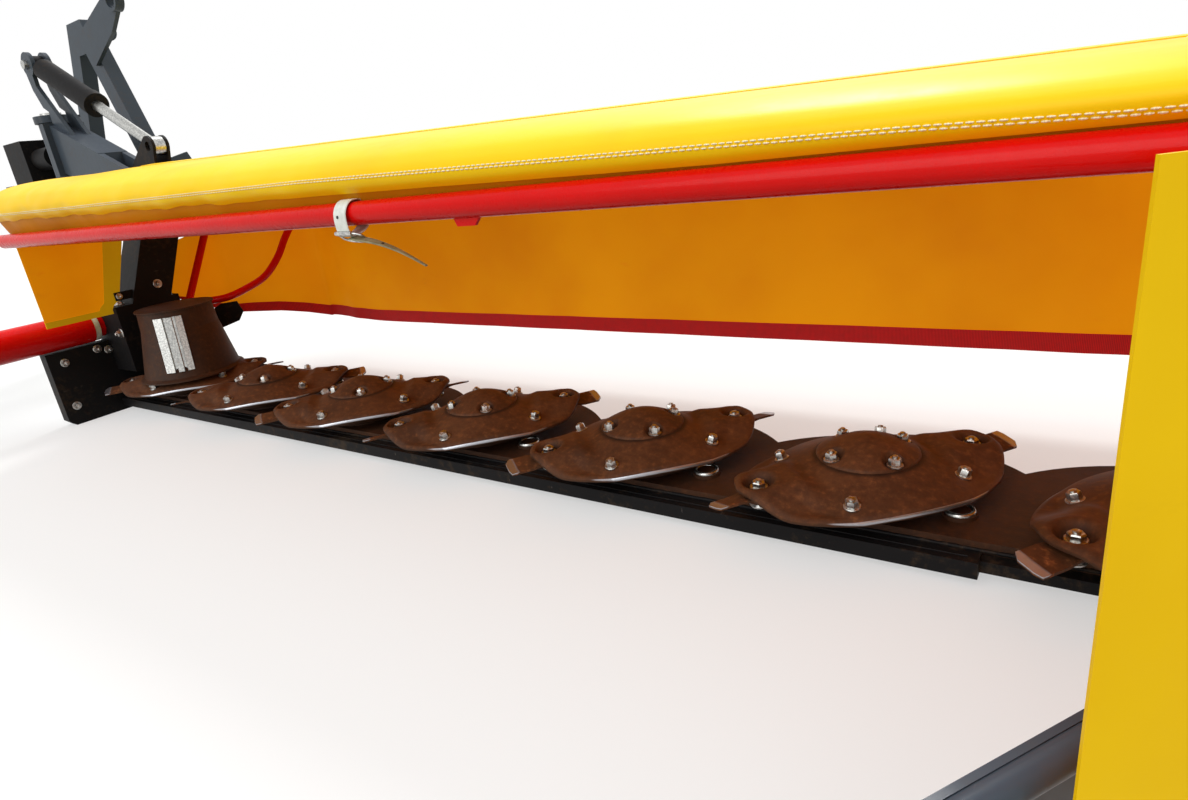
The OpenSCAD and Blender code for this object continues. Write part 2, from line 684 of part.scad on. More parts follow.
front_tube_r = 16;
front_tube_y = curtain_y - cloth_t - front_tube_r - seat_gap;
front_tube_z = 590;
module front_frame() {
    color(red) {
        rod([curtain_in + 6, front_tube_y, front_tube_z], [guard_out - 5, front_tube_y, front_tube_z],
            front_tube_r);
        for (x = front_at) {
            tube_path([[x, hinge_y + 34, ridge(x) - 22], [x, 400, ridge(x) - 34],
                [x, front_tube_y, front_tube_z]], 12, 60);
            translate([x - 14, 0, 0]) difference() {
                along_x(0, 28) union() {
                    polygon([[hinge_y - 2, ridge(x) - 6], [hinge_y + 10, ridge(x) - 3.5],
                        [hinge_y + 44, ridge(x) - 12], [hinge_y + 44, ridge(x) - 34],
                        [hinge_y + 24, ridge(x) - 34]]);
                    translate([hinge_y, ridge(x) + hinge_up]) circle(hinge_r);
                }
                rod(hinge_at(x - 20) - [x - 14, 0, 0], hinge_at(x + 20) - [x - 14, 0, 0],
                    hinge_pin_r + run_gap);
            }
        }
    }
}

module front_canopy() {
    color(yellow) cloth(front_shape, guard_in, guard_out, front_in);
}

curtain_in = -4;
curtain_end_x = guard_in - 34;
module front_curtain() {
    color(yellow) difference() {
        translate([0, 0, hem_z]) linear_extrude(hem_top - seat_gap - hem_z) polygon([[guard_out, curtain_y],
            [curtain_in, curtain_y], [curtain_end_x, 285], [curtain_end_x, 80], [curtain_end_x + cloth_t, 80],
            [curtain_end_x + cloth_t, 283], [curtain_in + 2, curtain_y - cloth_t],
            [guard_out, curtain_y - cloth_t]]);
        along_x(curtain_end_x - 1, curtain_in) polygon([[60, hem_z - 1], [curtain_y + 1, hem_z - 1],
            [curtain_y + 1, hem_z + 26], [490, 208], [420, 225], [285, 240], [101, 330], [101, 360],
            [92, 372], [158, 515], [175, 516], [230, 530], [262, 543], [280, 556], [300, 575],
            [345, hem_top], [60, hem_top]]);
    }
}

// OUTER GUARD
outer_in = outer_hinge_x + 16;
corner_x = bar_last - 115;
corner_y = -690;
corner_end_y = -400;
hoop_r = 12;
hoop_x = outer_in + 18;
hoop_end_x = outer_cloth_x - cloth_t - hoop_r - 2 * seat_gap;
hoop_z = ridge_out_z - cloth_t - hoop_r - 2 * seat_gap;
hoop_low_z = 590;
module outer_frame() {
    color(red) {
        tube_path([[hoop_x, outer_hinge_y[1] - 8, hoop_z], [hoop_x, -80, hoop_z],
            [hoop_x, -rear_tube_y, hoop_low_z], [corner_x + 48, corner_y + 54, hoop_low_z],
            [hoop_end_x, corner_end_y + 6, hoop_low_z],
            [hoop_end_x, -rear_tube_y + 15, hoop_low_z + 4], [hoop_end_x, -90, hoop_z],
            [hoop_end_x, 260, hoop_z], [hoop_end_x, curtain_y - 24, hoop_low_z],
            [hoop_x, curtain_y - 24, hoop_low_z], [hoop_x, 260, hoop_z],
            [hoop_x, outer_hinge_y[1] + 8, hoop_z]], hoop_r, 30);
        for (y = outer_hinge_y) difference() {
            along_y(y - 13, y + 13) union() {
                polygon([[outer_hinge_x - 5, outer_hinge_z - 9], [outer_hinge_x + 11, outer_hinge_z],
                    [outer_in - 1.5, hoop_z + 11.8], [hoop_x + 4, hoop_z + 11.8], [hoop_x + 14, hoop_z + 2],
                    [hoop_x + 6, hoop_z - 14], [outer_hinge_x + 8, hoop_z - 4]]);
                translate([outer_hinge_x, outer_hinge_z]) circle(hinge_r);
            }
            rod([outer_hinge_x, y - 14, outer_hinge_z], [outer_hinge_x, y + 14, outer_hinge_z],
                hinge_pin_r + run_gap);
        }
    }
}

// Profile over the whole depth of the guard
outer_shape = [[-rear_tube_y - 11, 0], [-rear_tube_y + 15, 0.5], [-rear_tube_y + 60, 0.82],
    [-rear_tube_y + 120, 0.965], [-150, 1], [262, 1], [300, 0.97], [420, 0.78], [510, 0.5],
    [curtain_y - 8, 0.2], [curtain_y, 0]];
function outer_rise(p) = [p[0], hem_top + p[1] * (ridge_out_z - hem_top)];

module outer_canopy() {
    last = len(outer_shape) - 1;
    color(yellow) {
        along_x(outer_in, outer_cloth_x) polygon(concat([for (p = outer_shape) outer_rise(p)],
            [for (i = [last : -1 : 0]) outer_rise(outer_shape[i])
                + (i == 0 ? [cloth_t, 0] : i == last ? [-cloth_t, 0] : [0, -cloth_t])]));
        translate([0, 0, hem_top]) linear_extrude(cloth_t) polygon([[outer_in, -rear_tube_y - 7],
            [outer_in, -632], [corner_x + 22, corner_y + 20], [outer_cloth_x, corner_end_y + 4],
            [outer_cloth_x, -rear_tube_y - 7]]);
    }
}

module outer_curtain() {
    color(yellow) union() {
        along_x(outer_cloth_x - cloth_t, outer_cloth_x) polygon(concat(
            [[curtain_y - cloth_t, hem_z], [corner_end_y, hem_z], [corner_end_y, hem_top - seat_gap],
                [-rear_tube_y - 6, hem_top - seat_gap]],
            [for (i = [1 : len(outer_shape) - 2]) outer_rise(outer_shape[i]) - [0, cloth_t + 1]],
            [[curtain_y - cloth_t, hem_top - seat_gap]]));
        block([outer_in, curtain_y - cloth_t, hem_z], [outer_cloth_x, curtain_y, hem_top - seat_gap]);
        translate([0, 0, hem_z]) linear_extrude(hem_top - hem_z - seat_gap) polygon([[corner_x, corner_y],
            [outer_cloth_x, corner_end_y - 5], [outer_cloth_x, corner_end_y], [corner_x, corner_y + 5]]);
    }
}

// SWATH BOARD
board_top = disc_z + 120;
module swath_board() {
    color(charcoal) translate([swath_x, swath_y, 0]) difference() {
        union() {
            translate([0, 0, 160 + seat_gap]) cylinder(h = 74, r = 20);
            rotate([0, 0, swath_dir]) along_y(-6, 0) polygon([[12, 163], [74, 163], [104, board_top - board_h],
                [board_len - 90, board_top - board_h], [board_len, board_top - board_h * 0.55],
                [board_len, board_top], [12, board_top]]);
            rotate([0, 0, swath_dir]) rod([12, 7, board_top - 11], [board_len - 4, 7, board_top - 11], 12);
        }
        translate([0, 0, board_top - 200]) cylinder(h = 300, r = 12 + run_gap);
    }
}

// DISCS
// Disc sheet: radius, height over the knife bolts
sheet = [[0, 16], [80, 14], [disc_waist, 2], [200, -5], [260, -10]];
waist_arc = 432;
hub_top = bed_top + 6 + seat_gap;
module disc_outline() {
    intersection() {
        translate([0, waist_arc - disc_waist]) circle(waist_arc, $fn = 96);
        translate([0, disc_waist - waist_arc]) circle(waist_arc, $fn = 96);
        circle(disc_reach);
    }
}

module knife() {
    difference() {
        linear_extrude(knife_t) polygon([[knife_bolt_r - 22, -knife_w / 2], [knife_tip_r - 8, -knife_w / 2],
            [knife_tip_r, -knife_w / 2 + 10], [knife_tip_r - 3, knife_w / 2],
            [knife_bolt_r - 22, knife_w / 2]]);
        translate([knife_bolt_r, 0, -1]) cylinder(h = knife_t + 2, r = 10.3);
    }
}

module disc(i) {
    low = len(sheet) - 1;
    color(rust) translate([disc_pitch * (i - 1), 0, disc_z])
        rotate([0, 0, (i % 2 == 1) ? disc_angle : 90 - disc_angle]) {
        union() {
            difference() {
                intersection() {
                    rotate_extrude($fn = 96)
                        polygon(concat(sheet, [for (k = [low : -1 : 0]) sheet[k] - [0, disc_sheet]]));
                    translate([0, 0, -60]) linear_extrude(120) disc_outline();
                }
                for (s = [0, 180]) rotate([0, 0, s]) translate([knife_bolt_r, 0, -7])
                    cylinder(h = 10, r1 = 20, r2 = 29);
            }
            rotate_extrude($fn = 96) polygon([[0, 13], [0, hub_top - disc_z], [66, hub_top - disc_z],
                [bowl_r - 22, bed_top + 14 - disc_z], [bowl_r - 3, bed_top + 28 - disc_z], [bowl_r, -12],
                [bowl_r - 4, 0], [80, 11]]);
            rotate_extrude($fn = 96) polygon([[0, 10], [cap_r, 8], [cap_r, 14], [cap_r - 12, 20],
                [cap_r - 36, 28], [cap_r - 60, 31], [0, 32]]);
            for (s = [0, 180]) rotate([0, 0, s]) translate([knife_bolt_r, 0, -30]) {
                cylinder(h = 24, r = 10);
                cylinder(h = 7, r = 19);
                translate([0, 0, 14]) cylinder(h = 10, r = 18.5);
            }
        }
        for (s = [0, 180]) rotate([0, 0, s]) translate([knife_bolt_r, 0, -21]) rotate([0, 0, knife_swing])
            translate([-knife_bolt_r, 0, 0]) knife();
    }
}

module drum() {
    color(rust) translate([0, 0, disc_z]) union() {
        rotate_extrude($fn = 96) polygon([[cap_r + 1, 14.5], [96, 12], [150, 1.5], [150, 6], [138, 12],
            [drum_r + 4, drum_h * 0.75], [drum_r, drum_h + 9], [drum_r + 6, drum_h + 10],
            [drum_r + 6, drum_h + 14], [0, drum_h + 14], [0, drum_h + 6], [drum_r - 8, drum_h + 5],
            [cap_r + 8, 20]]);
    }
}

placed() headstock();
placed() swing_carrier();
placed() hitch_pins();
placed() breakaway_pin();
placed() input_gearbox();
placed() shaft_guard();
placed() input_shaft();
placed() stand_leg();
placed() breakaway_head();
placed() boom();
placed() boom_pins();
placed() lift_barrel();
placed() lift_rod();
placed() bed();
placed() rear_rail();
placed() skids();
placed() inner_shoe();
placed() outer_shoe();
placed() inner_gearbox();
placed() column();
placed() side_tube();
placed() guard_beam();
placed() rear_tube();
placed() guard_arms();
placed() inner_tubes();
placed() tube_bracket();
placed() canopy();
placed() inner_curtain();
placed() hem_strap();
placed() front_frame();
placed() front_canopy();
placed() front_curtain();
placed() outer_frame();
placed() outer_canopy();
placed() outer_curtain();
placed() swath_board();
placed() drum();
placed() disc(1);  // disc_1
placed() disc(2);  // disc_2
placed() disc(3);  // disc_3
placed() disc(4);  // disc_4
placed() disc(5);  // disc_5
placed() disc(6);  // disc_6
placed() disc(7);  // disc_7
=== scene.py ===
import json
import math
import bpy
from mathutils import Matrix, Vector, noise

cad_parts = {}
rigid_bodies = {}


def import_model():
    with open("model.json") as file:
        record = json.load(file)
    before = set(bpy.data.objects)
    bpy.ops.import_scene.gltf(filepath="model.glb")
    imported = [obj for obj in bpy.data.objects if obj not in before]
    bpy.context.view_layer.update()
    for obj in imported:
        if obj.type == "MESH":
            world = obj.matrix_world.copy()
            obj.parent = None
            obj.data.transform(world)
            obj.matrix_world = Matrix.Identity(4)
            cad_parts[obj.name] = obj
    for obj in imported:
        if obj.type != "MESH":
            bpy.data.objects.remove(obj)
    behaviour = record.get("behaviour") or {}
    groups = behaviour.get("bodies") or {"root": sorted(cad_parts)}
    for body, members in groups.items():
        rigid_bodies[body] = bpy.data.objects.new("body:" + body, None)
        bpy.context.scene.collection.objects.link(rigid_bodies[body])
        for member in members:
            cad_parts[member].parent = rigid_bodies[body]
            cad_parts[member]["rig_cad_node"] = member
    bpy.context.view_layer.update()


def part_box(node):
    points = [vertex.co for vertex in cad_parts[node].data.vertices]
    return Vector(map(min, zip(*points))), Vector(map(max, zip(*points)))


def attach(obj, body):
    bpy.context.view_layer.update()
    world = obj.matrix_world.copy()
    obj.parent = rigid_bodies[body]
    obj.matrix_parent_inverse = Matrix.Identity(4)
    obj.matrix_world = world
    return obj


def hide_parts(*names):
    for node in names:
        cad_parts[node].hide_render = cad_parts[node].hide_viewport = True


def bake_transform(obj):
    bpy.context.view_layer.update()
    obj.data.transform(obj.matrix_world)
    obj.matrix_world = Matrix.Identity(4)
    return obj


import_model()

# The first disc's centre on the ground is where the machine's own lengths start
low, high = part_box("disc_1")
start = Vector(((low.x + high.x) / 2, (low.y + high.y) / 2, 0))
low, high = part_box("disc_2")
discPitch = (low.x + high.x) / 2 - start.x
discCount = 7
knifeZ = 0.115  # the disc sheets' own plane over the ground


def at(x, y, z):
    return start + Vector((x, y, z))


def spots(*places):
    return [at(*place) for place in places]


def placed(name, data):
    thing = bpy.data.objects.new(name, data)
    bpy.context.collection.objects.link(thing)
    return thing


# Camera
cameraView = {
    "place": (1.82436, -1.01270, 0.64553),
    "right": (0.82268, 0.55580, -0.11949),
    "down": (0.09137, -0.33671, -0.93716),
    "ahead": (-0.56111, 0.76007, -0.32779),
    "lens": 22.177,
    "sensor": 36,
}


def makeCamera():
    data = bpy.data.cameras.new("photoCamera")
    data.lens = cameraView["lens"]
    data.sensor_width = cameraView["sensor"]
    data.sensor_fit = "HORIZONTAL"
    camera = placed("photoCamera", data)
    right, down, ahead = (Vector(cameraView[k]) for k in ("right", "down", "ahead"))
    turn = Matrix((right, -down, -ahead)).transposed().to_4x4()
    camera.matrix_world = Matrix.Translation(cameraView["place"]) @ turn
    bpy.context.scene.camera = camera


makeCamera()
print("camera placed")


# Shader sums: a wire is a socket that plain Python can add, subtract and multiply, as in 1 - mask
class Wire:
    def __init__(self, graph, socket):
        self.graph, self.socket = graph, socket

    def sum(self, operation, *values):
        return self.graph.add("ShaderNodeMath", dict(enumerate(values)), {"operation": operation})

    def __add__(self, other):
        return self.sum("ADD", self, other)

    def __sub__(self, other):
        return self.sum("SUBTRACT", self, other)

    def __rsub__(self, other):
        return self.sum("SUBTRACT", other, self)

    def __mul__(self, other):
        return self.sum("MULTIPLY", self, other)

    # A number may also stand first
    __radd__ = __add__
    __rmul__ = __mul__

    def most(self, other):
        return self.sum("MAXIMUM", self, other)

    def ramp(self, lowEnd, highEnd, lowValue=0.0, highValue=1.0):
        sockets = {0: self, 1: lowEnd, 2: highEnd, 3: lowValue, 4: highValue}
        return self.graph.add("ShaderNodeMapRange", sockets, {"interpolation_type": "SMOOTHSTEP"})

    def out(self, name):
        return Wire(self.graph, self.socket.node.outputs[name])


class Graph:
    # The nodes of a material or of the world
    def __init__(self, owner):
        owner.use_nodes = True
        self.owner = owner
        self.tree = owner.node_tree
        self.tree.nodes.clear()

    def add(self, kind, sockets={}, settings={}, result=0):
        # The settings go in first, because some of them change the sockets
        node = self.tree.nodes.new(kind)
        for key, value in settings.items():
            setattr(node, key, value)
        for key, value in sockets.items():
            if isinstance(value, Wire):
                self.tree.links.new(value.socket, node.inputs[key])
            else:
                node.inputs[key].default_value = value
        return Wire(self, node.outputs[result]) if len(node.outputs) else node

    def place(self, scale=(1, 1, 1)):
        spot = self.add("ShaderNodeTexCoord", result="Object")
        return self.add("ShaderNodeMapping", {"Vector": spot, "Scale": scale})

    def grain(self, scale, detail=4, rough=0.55, stretch=(1, 1, 1)):
        sockets = {"Vector": self.place(stretch), "Scale": scale, "Detail": detail, "Roughness": rough}
        return self.add("ShaderNodeTexNoise", sockets)

    def cells(self, scale):
        return self.add("ShaderNodeTexVoronoi", {"Vector": self.place(), "Scale": scale})

    def waves(self, scale, direction="X", distortion=0.0):
        sockets = {"Vector": self.place(), "Scale": scale, "Distortion": distortion}
        return self.add("ShaderNodeTexWave", sockets, {"bands_direction": direction})

    def mix(self, factor, first, second):
        return self.add("ShaderNodeMix", {0: factor, 6: first, 7: second}, {"data_type": "RGBA"}, 2)

    def attribute(self, name):
        return self.add("ShaderNodeAttribute", {}, {"attribute_name": name}, "Fac")

    def bump(self, height, distance, strength=1.0):
        return self.add("ShaderNodeBump", {"Height": height, "Distance": distance, "Strength": strength})

    def shown(self):
        # One for rays that reach the eye, also by a mirror or glass; nought for those that light
        path = self.add("ShaderNodeLightPath", result="Is Camera Ray")
        return path.most(path.out("Is Glossy Ray")).most(path.out("Is Transmission Ray"))

    def finish(self, sockets):
        shader = self.add("ShaderNodeBsdfPrincipled", sockets)
        self.add("ShaderNodeOutputMaterial", {"Surface": shader})
        return self.owner


def newGraph(name):
    return Graph(bpy.data.materials.new(name))


def rgb(red, green, blue):
    # A colour as a screen shows it, from 0 to 255, turned into linear light
    def linear(value):
        value = value / 255
        return value / 12.92 if value <= 0.04045 else ((value + 0.055) / 1.055) ** 2.4
    return (linear(red), linear(green), linear(blue), 1)


# Finishes
rustLook = {
    "deep": rgb(68, 40, 23),
    "middle": rgb(100, 61, 35),
    "bright": rgb(136, 86, 48),
    "soil": rgb(44, 29, 20),
    "polished": rgb(176, 178, 184),
    "speck": rgb(150, 110, 80),
    "shade": rgb(17, 11, 8),
    # How far the painted shade takes the rust towards the shade colour
    "grease": 0.8,
}


def rustMaterial(name, lift=1.0, bright=None, wear=True, rough=0.62, shadow=0.0):
    g = newGraph(name)
    broad = g.grain(9, 5, 0.6)
    fine = g.grain(90, 6, 0.65)
    speck = g.grain(420, 3, 0.7)
    blotch = (broad * 0.55 + fine * 0.45).ramp(0.36, 0.66)
    colour = g.mix(blotch, rustLook["deep"], rustLook["middle"])
    colour = g.mix(fine.ramp(0.52, 0.78) * 0.4 * lift, colour, bright or rustLook["bright"])
    colour = g.mix(broad.ramp(0.55, 0.75) * 0.5, colour, rustLook["soil"])
    colour = g.mix(speck.ramp(0.66, 0.72) * 0.2, colour, rustLook["speck"])
    colour = g.mix(shadow, colour, rustLook["shade"])
    roughness = fine * 0.25 + (rough - 0.1)
    metal = 0.0
    if wear:
        worn = (g.attribute("wear") * 1.35 - g.grain(40, 3, 0.5) * 0.3).ramp(0.1, 0.5)
        colour = g.mix(worn, colour, rustLook["polished"])
        roughness = roughness * (1 - worn) + worn * 0.3
        metal = worn * 0.9
        # Painted shade: where the shade attribute is set, the colour goes towards the near black shade colour
        colour = g.mix(g.attribute("shade") * rustLook["grease"], colour, rustLook["shade"])
    height = fine * 0.7 + speck * 0.5 + broad * 0.6
    return g.finish({"Base Color": colour, "Roughness": roughness, "Metallic": metal,
                     "Specular IOR Level": 0.25, "Normal": g.bump(height, 0.0006, 0.8)})


paintSoil = rgb(92, 74, 56)


def paintMaterial(name, colour, chip, rough, coat, dust=0.2, scratches=0.4):
    g = newGraph(name)
    broad = g.grain(5, 4, 0.6)
    fine = g.grain(60, 5, 0.65)
    lines = g.grain(150, 3, 0.6, (1, 0.06, 0.4))
    base = g.mix(broad.ramp(0.35, 0.7) * 0.35, colour, [c * 0.72 for c in colour[:3]] + [1])
    base = g.mix((fine * 0.6 + broad * 0.5).ramp(0.56, 0.72) * dust, base, paintSoil)
    scuff = lines.ramp(0.66, 0.76) * fine.ramp(0.48, 0.62) * scratches
    base = g.mix(scuff, base, chip)
    roughness = fine * 0.25 + (rough - 0.08) + scuff * 0.2
    return g.finish({"Base Color": base, "Roughness": roughness, "Coat Weight": coat,
                     "Coat Roughness": 0.12, "Specular IOR Level": 0.1,
                     "Normal": g.bump(fine * 0.4 + lines * 0.15, 0.00035, 0.3)})


def zincMaterial(name, rust):
    g = newGraph(name)
    fine = g.grain(220, 4, 0.6)
    broad = g.grain(55, 4, 0.6)
    stain = (broad * 0.7 + fine * 0.4).ramp(0.72 - rust * 0.4, 0.92 - rust * 0.4)
    colour = g.mix(fine.ramp(0.3, 0.7), rgb(150, 150, 148), rgb(205, 205, 200))
    colour = g.mix(stain, colour, rgb(128, 78, 48))
    return g.finish({"Base Color": colour, "Metallic": 1 - stain * 0.95, "Roughness": stain * 0.45 + 0.3,
                     "Normal": g.bump(fine, 0.0003, 0.6)})


tarpLook = {
    "soil": rgb(140, 92, 20),
    "spot": rgb(80, 48, 18),
    "weave": 620,
}


def tarpMaterial(name, light, dark, glow, rough=0.42, soil=0.3):
    g = newGraph(name)
    broad = g.grain(2.2, 4, 0.55)
    fine = g.grain(38, 5, 0.6)
    weave = tarpLook["weave"] / 6.28
    colour = g.mix(broad.ramp(0.3, 0.72), light, dark)
    smear = g.grain(7, 6, 0.7, (1, 1, 2.2))
    colour = g.mix(smear.ramp(0.60, 0.82) * soil, colour, tarpLook["soil"])
    dots = g.cells(34).ramp(0.0, 0.045, 1.0, 0.0) * g.grain(6, 2).ramp(0.56, 0.66)
    colour = g.mix(dots * soil, colour, tarpLook["spot"])
    height = (g.waves(weave) + g.waves(weave, "Z")) * 0.1 + fine * 0.5
    # The emission is a painted glow that stands in for daylight shining through the thin cloth
    return g.finish({"Base Color": colour, "Roughness": fine * 0.16 + (rough - 0.06),
                     "Specular IOR Level": 0.16, "Normal": g.bump(height, 0.00025, 0.5),
                     "Emission Color": colour, "Emission Strength": glow})


def webMaterial(name, colour, dark):
    g = newGraph(name)
    ribs = g.waves(110, distortion=0.6)
    fine = g.grain(70, 4, 0.6)
    mixed = g.mix((ribs * 0.45 + fine * 0.6).ramp(0.3, 0.75), dark, colour)
    return g.finish({"Base Color": mixed, "Roughness": fine * 0.2 + 0.6,
                     "Normal": g.bump(ribs * 0.6 + fine * 0.5, 0.0005, 0.8)})


def plasticMaterial(name, colour, dark, rough=0.45):
    g = newGraph(name)
    fine = g.grain(55, 4, 0.6)
    mixed = g.mix(fine.ramp(0.35, 0.7), colour, dark)
    return g.finish({"Base Color": mixed, "Roughness": fine * 0.2 + (rough - 0.1),
                     "Normal": g.bump(g.grain(900, 2), 0.0002, 0.5)})


finishes = {
    "rust": rustMaterial("rustySheet"),
    "rustBed": rustMaterial("rustyBed", lift=0.7, wear=False, rough=0.58, shadow=0.5),
    "knife": rustMaterial("rustyKnife", lift=2.0, bright=rgb(168, 102, 58), rough=0.6),
    "charcoal": paintMaterial("charcoalPaint", rgb(66, 74, 84), rgb(120, 124, 128), 0.38, 0.15),
    "black": paintMaterial("blackPaint", rgb(24, 23, 24), rgb(90, 86, 84), 0.5, 0.0, 0.2, 0.5),
    "rail": paintMaterial("scratchedRail", rgb(24, 23, 24), rgb(104, 96, 92), 0.46, 0.0, 0.35, 0.9),
    "red": paintMaterial("redPaint", rgb(224, 10, 8), rgb(150, 14, 12), 0.24, 0.1, 0.02, 0.06),
    "zinc": zincMaterial("zincPlate", 0.15),
    "bolt": zincMaterial("stainedBolt", 0.42),
    # The glow values here are painted light, for daylight through the cloth
    "tarpOutside": tarpMaterial("tarpOutside", rgb(250, 204, 8), rgb(240, 188, 5), 0.08, soil=0.12),
    # The inside's orange is painted light: the yellow cloth as it looks with daylight shining through it
    "tarpInside": tarpMaterial("tarpInside", rgb(246, 164, 6), rgb(228, 142, 4), 0.32, 0.55),
    # The sleeve is a darker copy of the cloth: painted shade where the hem turns under the fold
    "tarpSleeve": tarpMaterial("tarpSleeve", rgb(208, 140, 8), rgb(184, 116, 4), 0.04, 0.55),
    "tarpEdge": tarpMaterial("tarpEdge", rgb(214, 176, 16), rgb(196, 152, 12), 0.22, 0.5),
    "hem": webMaterial("hemWebbing", rgb(232, 26, 34), rgb(196, 14, 22)),
    "thread": webMaterial("stitchThread", rgb(255, 246, 214), rgb(240, 224, 180)),
    "strap": plasticMaterial("whiteStrap", rgb(236, 238, 234), rgb(212, 214, 208)),
    # A darker copy of the white strap for the hanging tail: painted shade
    "strapShade": plasticMaterial("agedStrap", rgb(150, 146, 112), rgb(118, 114, 84)),
    # Black plastic for the shaft guard; the same black stands as painted shade in the strap's holes
    "plastic": plasticMaterial("blackPlastic", rgb(24, 24, 25), rgb(16, 16, 17), 0.55),
    "steel": zincMaterial("polishedSteel", 0.0),
}
print("materials made")


# Building helpers
def meshPiece(name, points, faces, materials, body, angle=35, kinds=None):
    # Smooth object with sharp edges above the angle; kinds holds each face's material number
    mesh = bpy.data.meshes.new(name)
    mesh.from_pydata([tuple(p) for p in points], [], faces)
    piece = placed(name, mesh)
    for key in materials:
        mesh.materials.append(finishes[key])
    if kinds:
        mesh.polygons.foreach_set("material_index", kinds)
    mesh.polygons.foreach_set("use_smooth", [True] * len(mesh.polygons))
    mesh.update()
    mesh.set_sharp_from_angle(angle=math.radians(angle))
    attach(piece, body)
    return piece


def paint(piece, **layers):
    for name, values in layers.items():
        piece.data.attributes.new(name, "FLOAT", "POINT").data.foreach_set("value", values)


def smooth(value, first, last):
    t = min(max((value - first) / (last - first), 0), 1)
    return t * t * (3 - 2 * t)


def bell(value, middle, width):
    return math.exp(-((value - middle) / width) ** 2)


def between(value, pairs):
    # Height read off a short list of (place, height) points
    if value <= pairs[0][0]:
        return pairs[0][1]
    for (a, low), (b, high) in zip(pairs, pairs[1:]):
        if value <= b:
            return low + (high - low) * (value - a) / (b - a)
    return pairs[-1][1]


def stations(first, last, count):
    return [first + (last - first) * k / count for k in range(count + 1)]


def wayAt(line, i, closed=False):
    # From the point before to the point after
    count = len(line)
    if closed:
        return line[(i + 1) % count] - line[i - 1]
    return line[min(i + 1, count - 1)] - line[max(i - 1, 0)]


def slabFaces(high, wide):
    # Faces of a closed slab whose outer layer of points comes first, and which are the outer ones
    back = high * wide
    faces, kinds = [], []
    for i in range(high - 1):
        for j in range(wide - 1):
            a = i * wide + j
            faces.append([a, a + 1, a + wide + 1, a + wide])
            faces.append([back + a, back + a + wide, back + a + wide + 1, back + a + 1])
            kinds += [0, 1]
    sides = [(i * wide + j, wide, j > 0) for i in range(high - 1) for j in (0, wide - 1)]
    ends = [(i * wide + j, 1, i == 0) for j in range(wide - 1) for i in (0, high - 1)]
    for a, step, flip in sides + ends:
        face = [a, a + step, back + a + step, back + a]
        faces.append(face[::-1] if flip else face)
        kinds.append(0)
    return faces, kinds


def hoseFaces(count, steps, closed=False):
    # Faces round a row of rings, with a lid at each open end
    faces = []
    for i in range(count if closed else count - 1):
        a, b = i * steps, (i + 1) % count * steps
        for k in range(steps):
            m = (k + 1) % steps
            faces.append([a + k, a + m, b + m, b + k])
    if not closed:
        faces.append(list(range(steps))[::-1])
        faces.append([(count - 1) * steps + k for k in range(steps)])
    return faces


